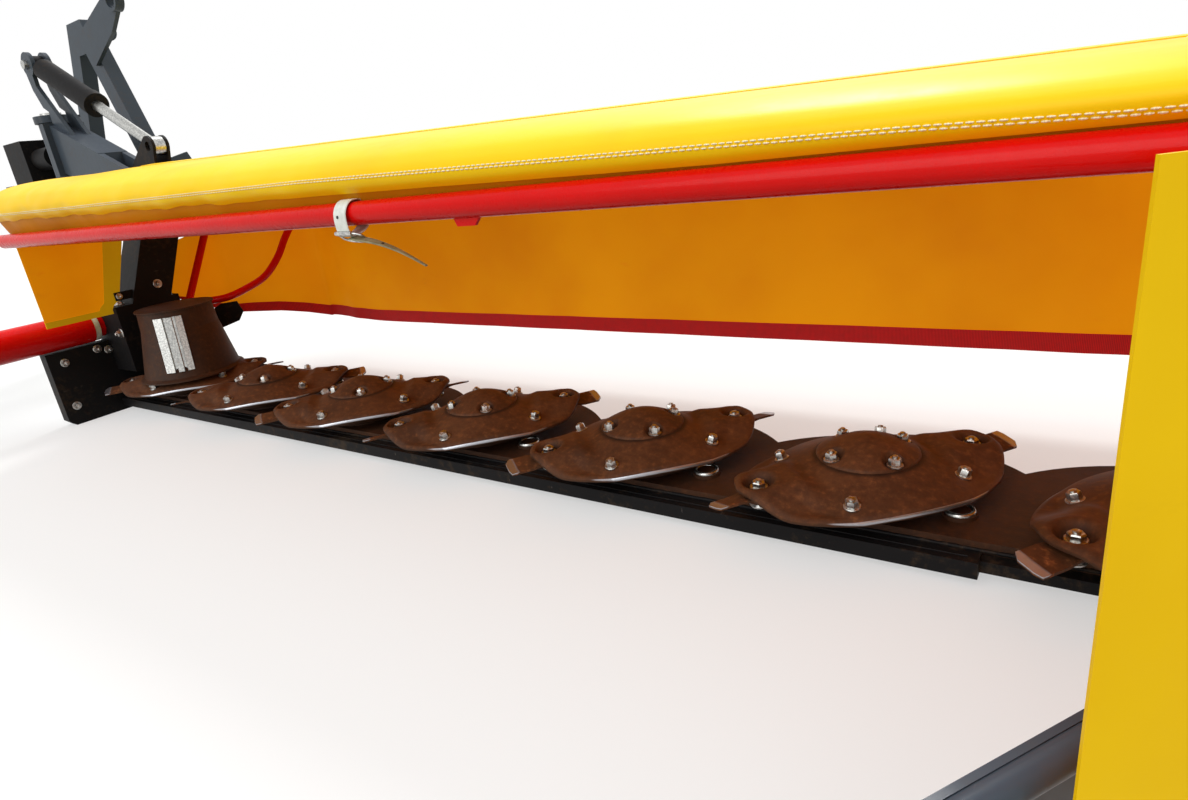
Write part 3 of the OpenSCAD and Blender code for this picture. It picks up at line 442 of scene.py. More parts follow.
class Shapes:
    # Gathers many small closed forms in one mesh
    def __init__(self):
        self.points, self.faces, self.kinds = [], [], []

    def add(self, points, faces, kind=0):
        first = len(self.points)
        self.points += [Vector(p) for p in points]
        self.faces += [[i + first for i in f] for f in faces]
        self.kinds += [kind] * len(faces)

    def lathe(self, profile, centre, axis=(0, 0, 1), steps=24, kind=0, turn=0.0):
        # Revolves (radius, height) points; a radius of nought closes an end
        turnTo = Vector((0, 0, 1)).rotation_difference(Vector(axis))
        rows, points = [], []
        for radius, height in profile:
            closing = radius < 1e-6
            rows.append([len(points) + (0 if closing else k) for k in range(steps)])
            for k in range(1 if closing else steps):
                angle = turn + 2 * math.pi * k / steps
                points.append(Vector((radius * math.cos(angle), radius * math.sin(angle), height)))
        faces = []
        for r in range(len(rows) - 1):
            for k in range(steps):
                m = (k + 1) % steps
                face = list(dict.fromkeys((rows[r][k], rows[r][m], rows[r + 1][m], rows[r + 1][k])))
                if len(face) > 2:
                    faces.append(face)
        self.add([Vector(centre) + turnTo @ p for p in points], faces, kind)

    def bolt(self, centre, axis, size, head, washer, shank=0.006, kind=0, turn=0.3):
        # Hexagon head with a chamfered top and the thread's end, on a washer
        centre, axis = Vector(centre), Vector(axis).normalized()
        flat, corner, core = 0.003, size / math.sqrt(3), size * 0.27
        self.lathe([(0, 0), (washer, 0), (washer, 0.0022), (washer - 0.001, flat), (0, flat)],
                   centre, axis, 20, kind)
        centre = centre + axis * 0.0028
        self.lathe([(0, 0), (corner, 0), (corner, head * 0.78), (corner * 0.86, head), (0, head)],
                   centre, axis, 6, kind, turn)
        self.lathe([(0, 0), (core, 0), (core, shank * 0.8), (size * 0.2, shank), (0, shank)],
                   centre + axis * (head - 0.0005), axis, 12, kind)

    def tube(self, path, radius, steps=12, closed=False):
        # Round bar along a path; the radius is one value, or one for each point
        count = len(path)
        sizes = radius if hasattr(radius, "__len__") else [radius] * count
        points = []
        side = None
        for i, spot in enumerate(path):
            way = wayAt(path, i, closed).normalized()
            side = side or way.orthogonal().normalized()
            side = (side - way * side.dot(way)).normalized()
            other = way.cross(side)
            for angle in stations(0, 2 * math.pi, steps)[:-1]:
                points.append(spot + side * sizes[i] * math.cos(angle) + other * sizes[i] * math.sin(angle))
        self.add(points, hoseFaces(count, steps, closed))

    def ribbon(self, path, across, widths, thick, closed=False):
        # Flat band along a path, with a width at each point
        points = []
        for i, spot in enumerate(path):
            way = wayAt(path, i, closed).normalized()
            side = (across - way * across.dot(way)).normalized()
            up = way.cross(side)
            w, h = widths[i] / 2, thick / 2
            for a, b in ((-w, 0), (-w + h, h), (w - h, h), (w, 0), (w - h, -h), (-w + h, -h)):
                points.append(spot + side * a + up * b)
        self.add(points, hoseFaces(len(path), 6, closed))

    def bar(self, lowCorner, highCorner, bevel=0.001):
        # Box with cut edges along its long sides
        a, b = lowCorner, highCorner
        points = []
        for z, inset in ((a.z, bevel), (a.z + bevel, 0), (b.z - bevel, 0), (b.z, bevel)):
            x0, x1, y0, y1 = a.x + inset, b.x - inset, a.y + inset, b.y - inset
            points += [(x0 + bevel, y0, z), (x1 - bevel, y0, z), (x1, y0 + bevel, z), (x1, y1 - bevel, z),
                       (x1 - bevel, y1, z), (x0 + bevel, y1, z), (x0, y1 - bevel, z), (x0, y0 + bevel, z)]
        self.add(points, hoseFaces(4, 8))

    def piece(self, name, materials, body, slot, angle=35, place=None):
        points = [place @ p for p in self.points] if place else self.points
        return meshPiece(name, points, self.faces, materials, body, angle, self.kinds)


def smoothLine(points, steps):
    # Rounded line through points, by Catmull-Rom stretches
    points = [Vector(p) for p in points]
    ends = [points[0] * 2 - points[1]] + points + [points[-1] * 2 - points[-2]]
    line = []
    for i in range(1, len(ends) - 2):
        p0, p1, p2, p3 = ends[i - 1:i + 3]
        for k in range(steps):
            t = k / steps
            line.append(0.5 * ((2 * p1) + (p2 - p0) * t + (2 * p0 - 5 * p1 + 4 * p2 - p3) * t * t
                               + (3 * p1 - p0 - 3 * p2 + p3) * t ** 3))
    line.append(points[-1])
    return line


def planeLine(points, steps=4):
    return [(p.x, p.y) for p in smoothLine([(a, b, 0) for a, b in points], steps)]


def clothPiece(name, rows, body,
               materials=("tarpOutside", "tarpInside"), thick=0.003, withPieces=()):
    # Closed thin cloth whose outer face goes through rows of points
    high, wide = len(rows), len(rows[0])
    points = [p for row in rows for p in row]
    inner = []
    for i in range(high):
        for j in range(wide):
            out = wayAt(rows[i], j).cross(wayAt([row[j] for row in rows], i))
            inner.append(rows[i][j] - out.normalized() * thick)
    faces, kinds = slabFaces(high, wide)
    made = meshPiece(name, points + inner, faces, materials, body, 50, kinds)
    return made


def onNode(node, key):
    for shown in bpy.context.scene.objects:
        if shown.get("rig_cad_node") == node:
            for holder in shown.material_slots:
                holder.material = finishes[key]
            if not shown.material_slots:
                shown.data.materials.append(finishes[key])


# Cutter discs
discLook = {
    "waist": 0.149,
    "reach": 0.228,
    "arc": 0.3,
    "blunt": 10,  # the higher, the tighter the corners between the arcs and the ends
    "sheet": 0.005,
    "coneStart": 0.08,
    "coneTop": 0.0145,
    "coneSlope": 0.44,
    "coneLow": -0.021,
    "wingHigh": 0.012,
    "wingSlope": 0.09,
    "shoulder": 0.1,
    "knifeBolt": 0.186,
    "sheetBolt": 0.138,
    "capBolt": 0.066,
    "boltTurn": math.radians(6),
    "swing": math.radians(10),
    "twist": math.radians(14),
    "knifeTip": 0.27,
    "knifeWide": 0.046,
    "parked": math.radians(45),
    "rings": 56,
    "steps": 240,
    "rimDrop": 0.0045,
    "pocket": (0.0125, 0.0175, 0.0285),  # depth, foot and brink round each knife bolt
    "bead": (0.0012, 0.033, 0.004),  # height, place and width of the raised ring beside it
    "bowl": [(0, -0.052), (0.064, -0.052), (0.08, -0.05), (0.112, -0.046), (0.13, -0.039), (0.139, -0.031),
             (0.1425, -0.0255), (0.141, -0.0235), (0.12, -0.016), (0.09, -0.009), (0, -0.009)],
    "capRim": [(0, 0.0105), (0.076, 0.0105), (0.0785, 0.0118), (0.0795, 0.0142), (0.0788, 0.0168)],
    "capReach": 0.077,
    "capTop": 0.046,
    "capRise": 0.0275,
    "holder": [(0, -0.0315), (0.017, -0.0315), (0.019, -0.029), (0.019, -0.0235), (0.0105, -0.0225),
               (0.0105, -0.0165), (0.019, -0.0155), (0.0185, -0.011), (0, -0.011)],
}


def discEdge(angle):
    # Radius of the stamped sheet's outline: two long arcs across the waist and blunt ends
    s = abs(math.sin(angle))
    back = discLook["arc"] - discLook["waist"]
    wing = -back * s + math.sqrt((back * s) ** 2 + discLook["arc"] ** 2 - back ** 2)
    blunt = discLook["blunt"]
    return (wing ** -blunt + discLook["reach"] ** -blunt) ** (-1 / blunt)


def discHeight(x, y):
    # Upper face: a cone, two wings that rise out of it, and a pocket round each knife bolt
    r = math.hypot(x, y)
    edge = discEdge(math.atan2(y, x))
    cone = discLook["coneTop"] - discLook["coneSlope"] * max(0, r - discLook["coneStart"])
    cone = max(cone, discLook["coneLow"])
    wing = discLook["wingHigh"] - discLook["wingSlope"] * (abs(x) - discLook["shoulder"])
    lobe = smooth(abs(x) + 0.08 * abs(y), 0.1, 0.135) * (1 - smooth(abs(y), 0.028, 0.092))
    z = cone + (max(cone, wing) - cone) * lobe
    z -= discLook["rimDrop"] * max(0, (r / edge - 0.95) / 0.05) ** 2
    deep, foot, brink = discLook["pocket"]
    raised, place, width = discLook["bead"]
    for side in (-1, 1):
        reach = math.hypot(x - side * discLook["knifeBolt"], y)
        z += raised * bell(reach, place, width) - deep * (1 - smooth(reach, foot, brink))
    return z


def discSheet(number, place):
    # The upper side from the middle out, then the underside from the rim in to the bowl
    rings, steps, thick = (discLook[k] for k in ("rings", "steps", "sheet"))
    points, wear, shade = [Vector((0, 0, discHeight(0, 0)))], [0.0], [0.0]
    faces = [[0, 1 + k, 1 + (k + 1) % steps] for k in range(steps)]
    rows = [((i / rings) ** 0.8, 0) for i in range(1, rings + 1)]
    rows += [(1.0, thick), (0.9, thick), (0.6, thick + 0.004), (0.1, thick + 0.004)]
    for i, (share, drop) in enumerate(rows):
        first = len(points)
        for k, angle in enumerate(stations(0, 2 * math.pi, steps)[:-1]):
            r = discEdge(angle) * share
            x, y = r * math.cos(angle), r * math.sin(angle)
            points.append(Vector((x, y, discHeight(x, y) - drop)))
            knife = min(math.hypot(x - side * discLook["knifeBolt"], y) for side in (-1, 1))
            wear.append(1 - smooth(r, 0.156, 0.185) if i == rings - 1 else 0.0)
            # Painted shade: the pocket round each knife bolt, a thin line under the cap's rim and the underside
            # rows are darkened
            paintedShade = max(0.9 * (1 - smooth(knife, 0.017, 0.028)), bell(r, 0.0815, 0.004))
            shade.append(0.75 if drop else paintedShade)
            if i:
                m = (k + 1) % steps
                faces.append([first - steps + k, first + k, first + m, first - steps + m])
    faces.append([first + k for k in reversed(range(steps))])
    made = meshPiece("discSheet%d" % number, [place @ p for p in points], faces, ["rust"],
                     "disc_%d" % number, 42)
    paint(made, wear=wear, shade=shade)
    return made


def boltRing(radius, start=0):
    turns = [math.radians(start + 90 * k) + discLook["boltTurn"] for k in range(4)]
    return [(angle, radius * math.cos(angle), radius * math.sin(angle)) for angle in turns]


def discUnder(number, place):
    # Bowl that carries the sheet, the raised cap, and the holders under the wings
    shapes = Shapes()
    shapes.lathe(discLook["bowl"], (0, 0, 0), steps=96)
    dome = [(discLook["capReach"] * (1 - t), discLook["capTop"] - discLook["capRise"] * (1 - t) ** 1.55)
            for t in stations(0, 1, 25)]
    first = len(shapes.points)
    shapes.lathe(discLook["capRim"] + dome, (0, 0, 0), steps=144)
    shade = [0.8] * first
    for p in shapes.points[first:]:
        pocket = 0
        if p.z > 0.0125:
            near = min(math.hypot(p.x - x, p.y - y) for _, x, y in boltRing(discLook["capBolt"]))
            pocket = 1 - smooth(near, 0.0135, 0.02)
            p.z += (min(p.z, 0.0178) - p.z) * pocket
        shade.append(pocket * 0.6)
    for side in (-1, 1):
        shapes.lathe(discLook["holder"], (side * discLook["knifeBolt"], 0, 0), steps=24)
    shade += [0.5] * (len(shapes.points) - len(shade))
    made = shapes.piece("discUnder%d" % number, ["rust"], "disc_%d" % number, "rusty_steel", 40, place)
    paint(made, shade=shade)


def discKnives(number, place):
    # Twisted plate with one cut corner, hanging back from the bolt under the wing
    shapes = Shapes()
    tip, wide, bolt = (discLook[k] for k in ("knifeTip", "knifeWide", "knifeBolt"))
    rows, across = 11, 4
    fullTwist = discLook["twist"] * (-1 if number % 2 else 1)
    tips = []
    for side in (0, math.pi):
        points = []
        for level in (0, 1):
            for i, x in enumerate(stations(bolt - 0.022, tip, rows - 1)):
                twist = fullTwist * smooth(x, bolt + 0.012, bolt + 0.04)
                for j in range(across + 1):
                    y = wide * (j / across - 0.5)
                    cut = smooth(x, tip - 0.012, tip) * 0.009 if j == 0 else 0
                    cut += 0.003 * smooth(x, tip - 0.03, tip) if j == across else 0
                    z = -0.0215 + level * 0.004 + y * math.sin(twist)
                    points.append(Vector((x - cut, y * math.cos(twist), z)))
                    tips.append(0.55 if i >= rows - 2 and level else 0.0)
        hang = (Matrix.Rotation(side, 4, "Z") @ Matrix.Translation((bolt, 0, 0))
                @ Matrix.Rotation(discLook["swing"], 4, "Z") @ Matrix.Translation((-bolt, 0, 0)))
        shapes.add([hang @ p for p in points], slabFaces(rows, across + 1)[0])
    made = shapes.piece("discKnives%d" % number, ["knife"], "disc_%d" % number, "rusty_steel", 40, place)
    paint(made, wear=tips)


def discBolts(number, place):
    shapes = Shapes()
    up = (0, 0, 1)
    for k, (angle, x, y) in enumerate(boltRing(discLook["sheetBolt"], 45)):
        lean = (0.3 * math.cos(angle), 0.3 * math.sin(angle), 1)
        shapes.bolt((x, y, discHeight(x, y) - 0.0005), lean, 0.017, 0.0115, 0.0125, 0.003, turn=0.4 + k)
    for k, (_, x, y) in enumerate(boltRing(discLook["capBolt"])):
        shapes.bolt((x, y, 0.0172), up, 0.017, 0.0105, 0.0125, 0.0045, turn=0.9 + k)
    for x in (discLook["knifeBolt"], -discLook["knifeBolt"]):
        shapes.bolt((x, 0, discHeight(x, 0) - 0.0005), up, 0.019, 0.0085, 0.0145, 0.004, turn=0.2)
        nut = [(0, 0), (0.0145, 0), (0.016, 0.003), (0.013, 0.008), (0, 0.009)]
        shapes.lathe(nut, (x, 0, -0.0395), up, 20)
    shapes.piece("discBolts%d" % number, ["bolt"], "disc_%d" % number, "zinc_steel", 35, place)


for number in range(1, discCount + 1):
    spot = at(discPitch * (number - 1), 0, knifeZ)
    place = Matrix.Translation(spot) @ Matrix.Rotation(discLook["parked"], 4, "Z")
    sheetPiece = discSheet(number, place)
    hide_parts("disc_%d" % number)
    discUnder(number, place)
    discKnives(number, place)
    discBolts(number, place)
print("discs made")

# Cloths over the cutter bar
clothLook = {
    "inner": -0.17,
    "outer": 2.45,
    "columns": 150,
    "ridgeIn": 0.74,
    "ridgeOut": 0.67,
    "hemTop": 0.612,
    "hemLow": 0.146,
    "guardFront": 0.562,
    "curtainTop": 0.6105,
    "curtainFront": 0.56,
    "curtainBack": 0.285,
    "curtainCorner": -0.004,
    "curtainEnd": -0.204,
    "ridgeLift": 0.0115,
    "frontDrop": 0.012,  # front edge under the hem's height
    "trim": 0.0012,  # thickness of the sleeve and the flap
    "edge": 0.0014,  # thickness of the inner curtain's edges, and the place of the webbing
    "webbing": 0.0058,
}


def columns(inset=0, fine=1):
    # Places along the guard from its inner to its outer end
    return stations(clothLook["inner"] + inset, clothLook["outer"] - inset, clothLook["columns"] * fine)


def ridge(x):
    share = (x - clothLook["inner"]) / (clothLook["outer"] - clothLook["inner"])
    return clothLook["ridgeIn"] + (clothLook["ridgeOut"] - clothLook["ridgeIn"]) * share


def ripple(x, y, z, size=0.0015, scale=5):
    return size * noise.noise(Vector((x, y, z)) * scale)


# Rear canopy: distance forward, share of the height from hem to ridge
rearProfile = [(-0.314, 0), (-0.326, 0.12), (-0.331, 0.25), (-0.33, 0.38), (-0.322, 0.52), (-0.305, 0.68),
               (-0.27, 0.83), (-0.22, 0.93), (-0.15, 0.985), (-0.08, 1.0), (0.03, 1.0), (0.139, 1.0)]
stitchLine = [(-0.17, 0.6565), (0.3, 0.651), (1.26, 0.643), (2.21, 0.622), (2.39, 0.615), (2.45, 0.614)]


def rearHem(x):
    slack = smooth(1.3 - x, 0, 0.4)
    wave = 0.0018 * math.sin(x * 23) + 0.0012 * math.sin(x * 61 + 1)
    return max(0.6075, 0.634 - (x - 0.3) * 0.0155) + wave * slack


def rearPoint(x, y, share):
    # The hem waves a little, and one slanted crease runs down beside the inner end
    hem = rearHem(x)
    z = hem + share * (ridge(x) - hem) + clothLook["ridgeLift"] * smooth(y, -0.08, 0.13)
    loose = (1 - smooth(share, 0.1, 0.5)) * smooth(1.6 - x, 0, 0.5)
    out = loose * (0.002 * math.sin(x * 31 + 2) + 0.0012 * math.sin(x * 73))
    crease = 0.0028 * bell(x, 0.02 + 0.16 * (1 - share), 0.018)
    crease *= smooth(share, 0.2, 0.5) * (1 - smooth(share, 0.85, 1))
    push = ripple(x, y, z) * (1 - smooth(y, 0.05, 0.139))
    return Vector((x, y - out + crease * 0.7 - push, z - crease * 0.5 + push * 0.6))


rearCurve = planeLine(rearProfile)


def rearCanopy():
    rows = [[at(*rearPoint(x, y, share)) for x in columns(fine=2)] for y, share in rearCurve]
    made = clothPiece("rearCanopy", rows, "bar",
                      withPieces=[stitching()])
    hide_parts("canopy")


stitchLook = {
    "long": 0.0068,
    "pitch": 0.009,
    "rowGap": 0.0038,
    "thick": [0.0007, 0.0012, 0.0007],
}


def stitching():
    # Two rows of lock stitches just above the hem's fold
    shapes = Shapes()
    for row in (0, 1):
        x = clothLook["inner"] + 0.008 + row * 0.004
        while x < clothLook["outer"] - 0.012:
            ends = []
            for end in (x, x + stitchLook["long"]):
                wanted = between(end, stitchLine) + row * stitchLook["rowGap"]
                curve = [rearPoint(end, y, share) for y, share in rearCurve[:24]]
                for below, above in zip(curve, curve[1:]):
                    if below.z <= wanted < above.z:
                        spot = below.lerp(above, (wanted - below.z) / (above.z - below.z))
                        break
                ends.append(at(*spot) + Vector((0, -0.0004, 0)))
            middle = (ends[0] + ends[1]) / 2 + Vector((0, -0.0008, 0))
            shapes.tube([ends[0], middle, ends[1]], stitchLook["thick"], 5)
            x += stitchLook["pitch"]
    return shapes.piece("hemStitches", ["thread"], "bar", "yellow_tarpaulin", 60)


def hemSleeve():
    # The hem's inner layer, which runs on from the fold to the top of the tube; its darker amber is painted
    # shade
    rows = []
    for t in stations(1, 0, 4):
        row = [rearPoint(x, -0.3135, 0.012).lerp(Vector((x, -0.2915, 0.588)), t) for x in columns(0.003)]
        rows.append([at(*spot) + Vector((0, 0.002, 0)) for spot in row])
    clothPiece("hemSleeve", rows, "bar",
               ("tarpSleeve", "tarpSleeve"), clothLook["trim"])


rearCanopy()
hemSleeve()
print("rear canopy made")

# Front canopy: shorter over the inner corner, where the curtain slants back
frontProfile = [(0.171, 1.0), (0.23, 0.992), (0.3, 0.97), (0.42, 0.85), (0.51, 0.6), (0.552, 0.25),
                (0.5615, 0.06), (0.562, 0.0)]
flapProfile = [(0.108, 0.0128), (0.126, 0.0142), (0.142, 0.0156), (0.155, 0.0162), (0.168, 0.0156),
               (0.184, 0.0142), (0.202, 0.0128)]


def slantY(x):
    corner, end, back = (clothLook[k] for k in ("curtainCorner", "curtainEnd", "curtainBack"))
    return back + (x - end) / (corner - end) * (clothLook["curtainFront"] - back)


def frontPoint(x, y, share):
    hinge, front = 0.171, clothLook["guardFront"]
    if x < clothLook["curtainCorner"]:
        y = hinge + (y - hinge) * (slantY(x) + 0.002 - hinge) / (front - hinge)
    foot = clothLook["hemTop"] - clothLook["frontDrop"]
    z = foot + share * (ridge(x) - foot)
    z += clothLook["ridgeLift"] * (1 - smooth(y, 0.18, 0.3))
    sag = 0.004 * (bell(x, 0.68, 0.3) + bell(x, 1.7, 0.3)) * math.sin(math.pi * min(1, share))
    return Vector((x, y, z - sag + ripple(x, y, z, 0.002, 4)))


def frontCanopy():
    rows = [[at(*frontPoint(x, y, share)) for x in columns()] for y, share in planeLine(frontProfile)]
    made = clothPiece("frontCanopy", rows, "front_guard")
    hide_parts("front_canopy")


def ridgeFlap():
    rows = [[at(x, y, ridge(x) + up) for x in columns(0.004)] for y, up in planeLine(flapProfile)]
    made = clothPiece("ridgeFlap", rows, "bar",
                      ("tarpOutside", "tarpOutside"), clothLook["trim"])
    made.parent = None
    return made


frontCanopy()

# Front curtain: hangs from the front tube, slants back round the inner corner, and has a webbing hem
curtainPath = [(-0.204, 0.1), (-0.204, 0.16), (-0.204, 0.22), (-0.204, 0.27), (-0.198, 0.298), (-0.18, 0.325),
               (-0.12, 0.4), (-0.06, 0.483), (-0.02, 0.538), (-0.002, 0.555), (0.02, 0.56), (0.06, 0.56)]
curtainBottom = [(0.1, 0.33), (0.285, 0.234), (0.42, 0.209), (0.49, 0.187), (0.556, 0.16)]
curtainTop = [(0.1, 0.384), (0.158, 0.508), (0.23, 0.524), (0.28, 0.55), (0.3, 0.568), (0.345, 0.6105)]


def curtainLine():
    straight = stations(0.08, clothLook["outer"], clothLook["columns"])
    return planeLine(curtainPath, 5) + [(x, clothLook["curtainFront"]) for x in straight]


def curtainPoint(x, y, share):
    # Share runs from 0 at the top to 1 at the bottom
    slant = x < clothLook["curtainCorner"] + 0.004
    top = between(y, curtainTop) if slant else clothLook["curtainTop"]
    bottom = between(y, curtainBottom) if slant else clothLook["hemLow"] + 0.016 * (1 - smooth(x, 0.0, 0.3))
    z = top + (bottom - top) * share
    belly = 0.0045 * math.sin(math.pi * share) * math.sin(x * 2.3 + 0.4) + 0.002 * share * math.sin(x * 11)
    belly += 0.006 * bell(x, 0.05 + 0.1 * share, 0.03) * smooth(share, 0.1, 0.5)
    belly += ripple(x, y, z, 0.003, 3.2)
    calm = smooth(x, 0.0, 0.12) * smooth(2.44 - x, 0, 0.1)
    return Vector((x, y - abs(belly) * calm * 0.9, z))


def curtainRows(line, shares, out=0.0):
    # The out value moves the cloth sideways from the curtain's own face
    ways = [wayAt([Vector(p) for p in line], k) for k in range(len(line))]
    outward = [Vector((-way.y, way.x, 0)).normalized() * out for way in ways]
    return [[at(*curtainPoint(x, y, share)) + move for (x, y), move in zip(line, outward)] for share in shares]


def frontCurtain():
    line = curtainLine()
    low = curtainRows(line, stations(0.918, 1.004, 4), clothLook["edge"])
    web = clothPiece("curtainWebbing", low, "front_guard", materials=("hem", "hem"), thick=clothLook["webbing"])
    made = clothPiece("frontCurtain", curtainRows(line, stations(0, 1, 26)), "front_guard",
                      withPieces=[web])
    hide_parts("front_curtain")


frontCurtain()
print("front cloths made")


def innerCurtainPoint(t, share, out=0.0):
    # Side panel between the rear tube and the column: t runs forward, share runs down
    low, top, back = 0.326, 0.722, -0.294
    z = top + (low - top) * share
    front = between(z, [(low, -0.108), (0.348, -0.107), (0.36, -0.081), (0.72, 0.048)])
    y = back + (front - back) * t
    z = min(z, between(y, [(-0.3, 0.652), (-0.27, 0.69), (-0.22, 0.712), (-0.15, top), (0.1, 0.724)]))
    return at(-0.1685 + out + 0.0014 * math.sin(y * 34 + z * 9) * math.sin(math.pi * t), y, z)


def innerCurtain():
    def rows(forward, down, out=0.0):
        return [[innerCurtainPoint(t, share, out) for t in forward] for share in down]

    trims = []
    for name, forward, down in (("innerCurtainEdge", stations(0.79, 1.0, 6), stations(0.1, 1.0, 28)),
                                ("innerCurtainFoot", stations(0.0, 0.8, 12), stations(0.955, 1.0, 3))):
        trims.append(clothPiece(name, rows(forward, down, 0.0029), "bar",
                                materials=("tarpEdge", "tarpEdge"), thick=clothLook["edge"]))
    made = clothPiece("innerCurtain", rows(stations(0, 1, 18), stations(0, 1, 30)), "bar",
                      withPieces=trims)
    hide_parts("inner_curtain")


# Outer guard: canopy, its corner flap, and the curtain round the front, side and slanted rear
outerLook = {
    "inner": 2.482,
    "cloth": 2.869,
    "bend": 2.84,
    "rear": -0.4185,
    "corner": (2.405, -0.69),
    "flapTop": 0.6155,
    "curtainTop": 0.6115,
}
outerProfile = [(-0.326, 0), (-0.3, 0.5), (-0.255, 0.82), (-0.195, 0.965), (-0.15, 1), (0.262, 1), (0.3, 0.97),
                (0.42, 0.78), (0.51, 0.5), (0.552, 0.2), (0.5625, 0.0)]
outerRise = clothLook["ridgeOut"] - clothLook["hemTop"]


def outerCanopy():
    inner, outer = outerLook["inner"], outerLook["cloth"]
    rows = []
    for y, share in planeLine(outerProfile):
        z = clothLook["hemTop"] + min(share, 1.004) * outerRise
        rows.append([at(x, y, z + math.sin(math.pi * (x - inner) / (outer - inner)) * ripple(x, y, 0, 0.002, 6))
                     for x in stations(inner, outer + 0.001, 24)])
    roof = clothPiece("outerCanopy", rows, "outer_guard")
    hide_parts("outer_canopy")


def outerCornerFlap():
    cornerX, cornerY = outerLook["corner"]
    rows = []
    for y in stations(-0.685, -0.325, 14):
        left = outerLook["inner"] - 0.06 * smooth(-y, 0.632, 0.68)
        right = min(outerLook["cloth"], cornerX + (y - cornerY) * 1.6) - 0.012
        rows.append([at(x, y, outerLook["flapTop"] + ripple(x, y, 1, 0.001, 9))
                     for x in stations(left, max(right, left + 0.004), 16)])
    clothPiece("outerCornerFlap", rows, "outer_guard")


def outerLine():
    # The curtain's course: front, outer side and the slant at the rear, with two rounded corners
    cloth, bend, rear = (outerLook[k] for k in ("cloth", "bend", "rear"))
    cornerX, cornerY = outerLook["corner"]
    line = [(x, clothLook["guardFront"]) for x in stations(outerLook["inner"], bend, 14)]
    line += planeLine([(bend, 0.5615), (2.86, 0.556), (cloth, 0.535)])
    line += [(cloth, y) for y in stations(0.51, -0.37, 44)]
    line += planeLine([(cloth, -0.385), (2.866, -0.4), (2.855, -0.409)], 3)
    return line + [(bend + (cornerX - bend) * t, rear + (cornerY - rear) * t) for t in stations(0, 1, 26)]


def outerCurtain():
    rows = []
    for share in stations(0, 1, 22):
        row = []
        for x, y in outerLine():
            onSide = x > 2.86
            top = outerLook["curtainTop"]
            if onSide and -0.32 < y < 0.553:
                top = clothLook["hemTop"] + between(y, outerProfile) * outerRise - 0.005
            z = top + (clothLook["hemLow"] + 0.001 - top) * share
            push = 0.003 * math.sin(math.pi * share) * math.sin((x + y) * 7) + ripple(x, y, z, 0.003, 3)
            inward = (-0.5, 0.86, 0) if y < -0.4 else (-1, 0, 0) if onSide else (0, -1, 0)
            row.append(at(x, y, z) + Vector(inward) * abs(push))
        rows.append(row)
    wall = clothPiece("outerCurtain", rows, "outer_guard")
    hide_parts("outer_curtain")


innerCurtain()
outerCanopy()
outerCornerFlap()
outerCurtain()
flap = ridgeFlap()
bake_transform(flap)
print("side cloths made")

# Strap round the rear tube: a stiff plastic loop, its buckle and its tapering tail
strapLook = {
    "x": 1.364,
    "wide": 0.031,
    "thick": 0.0024,
    "tube": (-0.315, 0.586),
    "buckle": (-0.3385, 0.558),
    "hole": 0.0026,
    "loop": [(0.006, 0.0222), (-0.006, 0.0218), (-0.016, 0.0165), (-0.0232, 0.006), (-0.0255, -0.005),
             (-0.0253, -0.016), (-0.0235, -0.0275), (-0.018, -0.0335), (-0.005, -0.032), (0.01, -0.0265),
             (0.0205, -0.016), (0.0235, -0.002), (0.0215, 0.011), (0.0155, 0.0185)],
}


def strapLoop():
    y, z = strapLook["tube"]
    loop = strapLook["loop"]
    ring = smoothLine([at(strapLook["x"], y + a, z + b) for a, b in loop + loop[:1]], 4)[:-1]
    shapes = Shapes()
    shapes.ribbon(ring, Vector((1, 0, 0)), [strapLook["wide"]] * len(ring), strapLook["thick"], True)
    made = shapes.piece("hemStrap", ["strap"], "bar", "white_strap", 40)
    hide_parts("hem_strap")


def strapTail():
    tail = smoothLine(spots((1.372, -0.331, 0.5495), (1.4, -0.3305, 0.5455), (1.43, -0.327, 0.5385),
                            (1.462, -0.322, 0.5265), (1.49, -0.317, 0.512), (1.512, -0.312, 0.4985)), 6)
    widths = [0.02 - 0.012 * smooth(k, 8, len(tail)) for k in range(len(tail))]
    shapes = Shapes()
    shapes.ribbon(tail, Vector((-0.72, 0.62, 0.2)), widths, 0.0026)
    # The tail's darker strap colour is painted shade
    shapes.piece("strapTail", ["strapShade"], "bar", "white_strap", 40)


def strapBuckle():
    # Wire frame, the roller on its near side and the tongue; then the strap's holes, as black discs that are
    # painted shade
    base = at(strapLook["x"], *strapLook["buckle"])

    def near(*places):
        return [base + Vector(place) for place in places]

    shapes = Shapes()
    wire = smoothLine(near((-0.018, 0, 0.0005), (0.018, 0, -0.0005), (0.032, 0.009, -0.006),
                           (0.024, 0.023, -0.017), (-0.012, 0.023, -0.016), (-0.024, 0.011, -0.0085)), 5)
    shapes.tube(wire[:-1], 0.0019, 10, True)
    roller = near((-0.02, -0.001, 0), (-0.012, -0.001, 0), (0.012, -0.001, -0.0005), (0.02, -0.001, -0.0006))
    shapes.tube(roller, [0.0035, 0.0044, 0.0044, 0.0035], 16)
    shapes.tube(near((0.005, 0.0225, -0.0165), (0.007, 0.01, -0.0095), (0.006, -0.002, 0.003)), 0.0016, 8)
    shapes.piece("strapBuckle", ["zinc"], "bar", "zinc_steel", 40)
    shapes = Shapes()
    wide = strapLook["hole"]
    shapes.lathe([(0, -0.0006), (wide, -0.0006), (wide, 0.0009), (0.0018, 0.0012), (0, 0.0012)],
                 near((-0.004, -0.0028, 0.026))[0], (0, -1, 0.06), 14)
    shapes.lathe([(0, -0.001), (wide, -0.001), (wide, 0.0016), (0, 0.0016)],
                 at(1.4375, -0.3262, 0.5365), (0.25, -0.3, 0.9), 14)
    shapes.piece("strapHoles", ["plastic"], "bar", "black_plastic", 40)


strapLoop()
strapTail()
strapBuckle()
print("strap made")

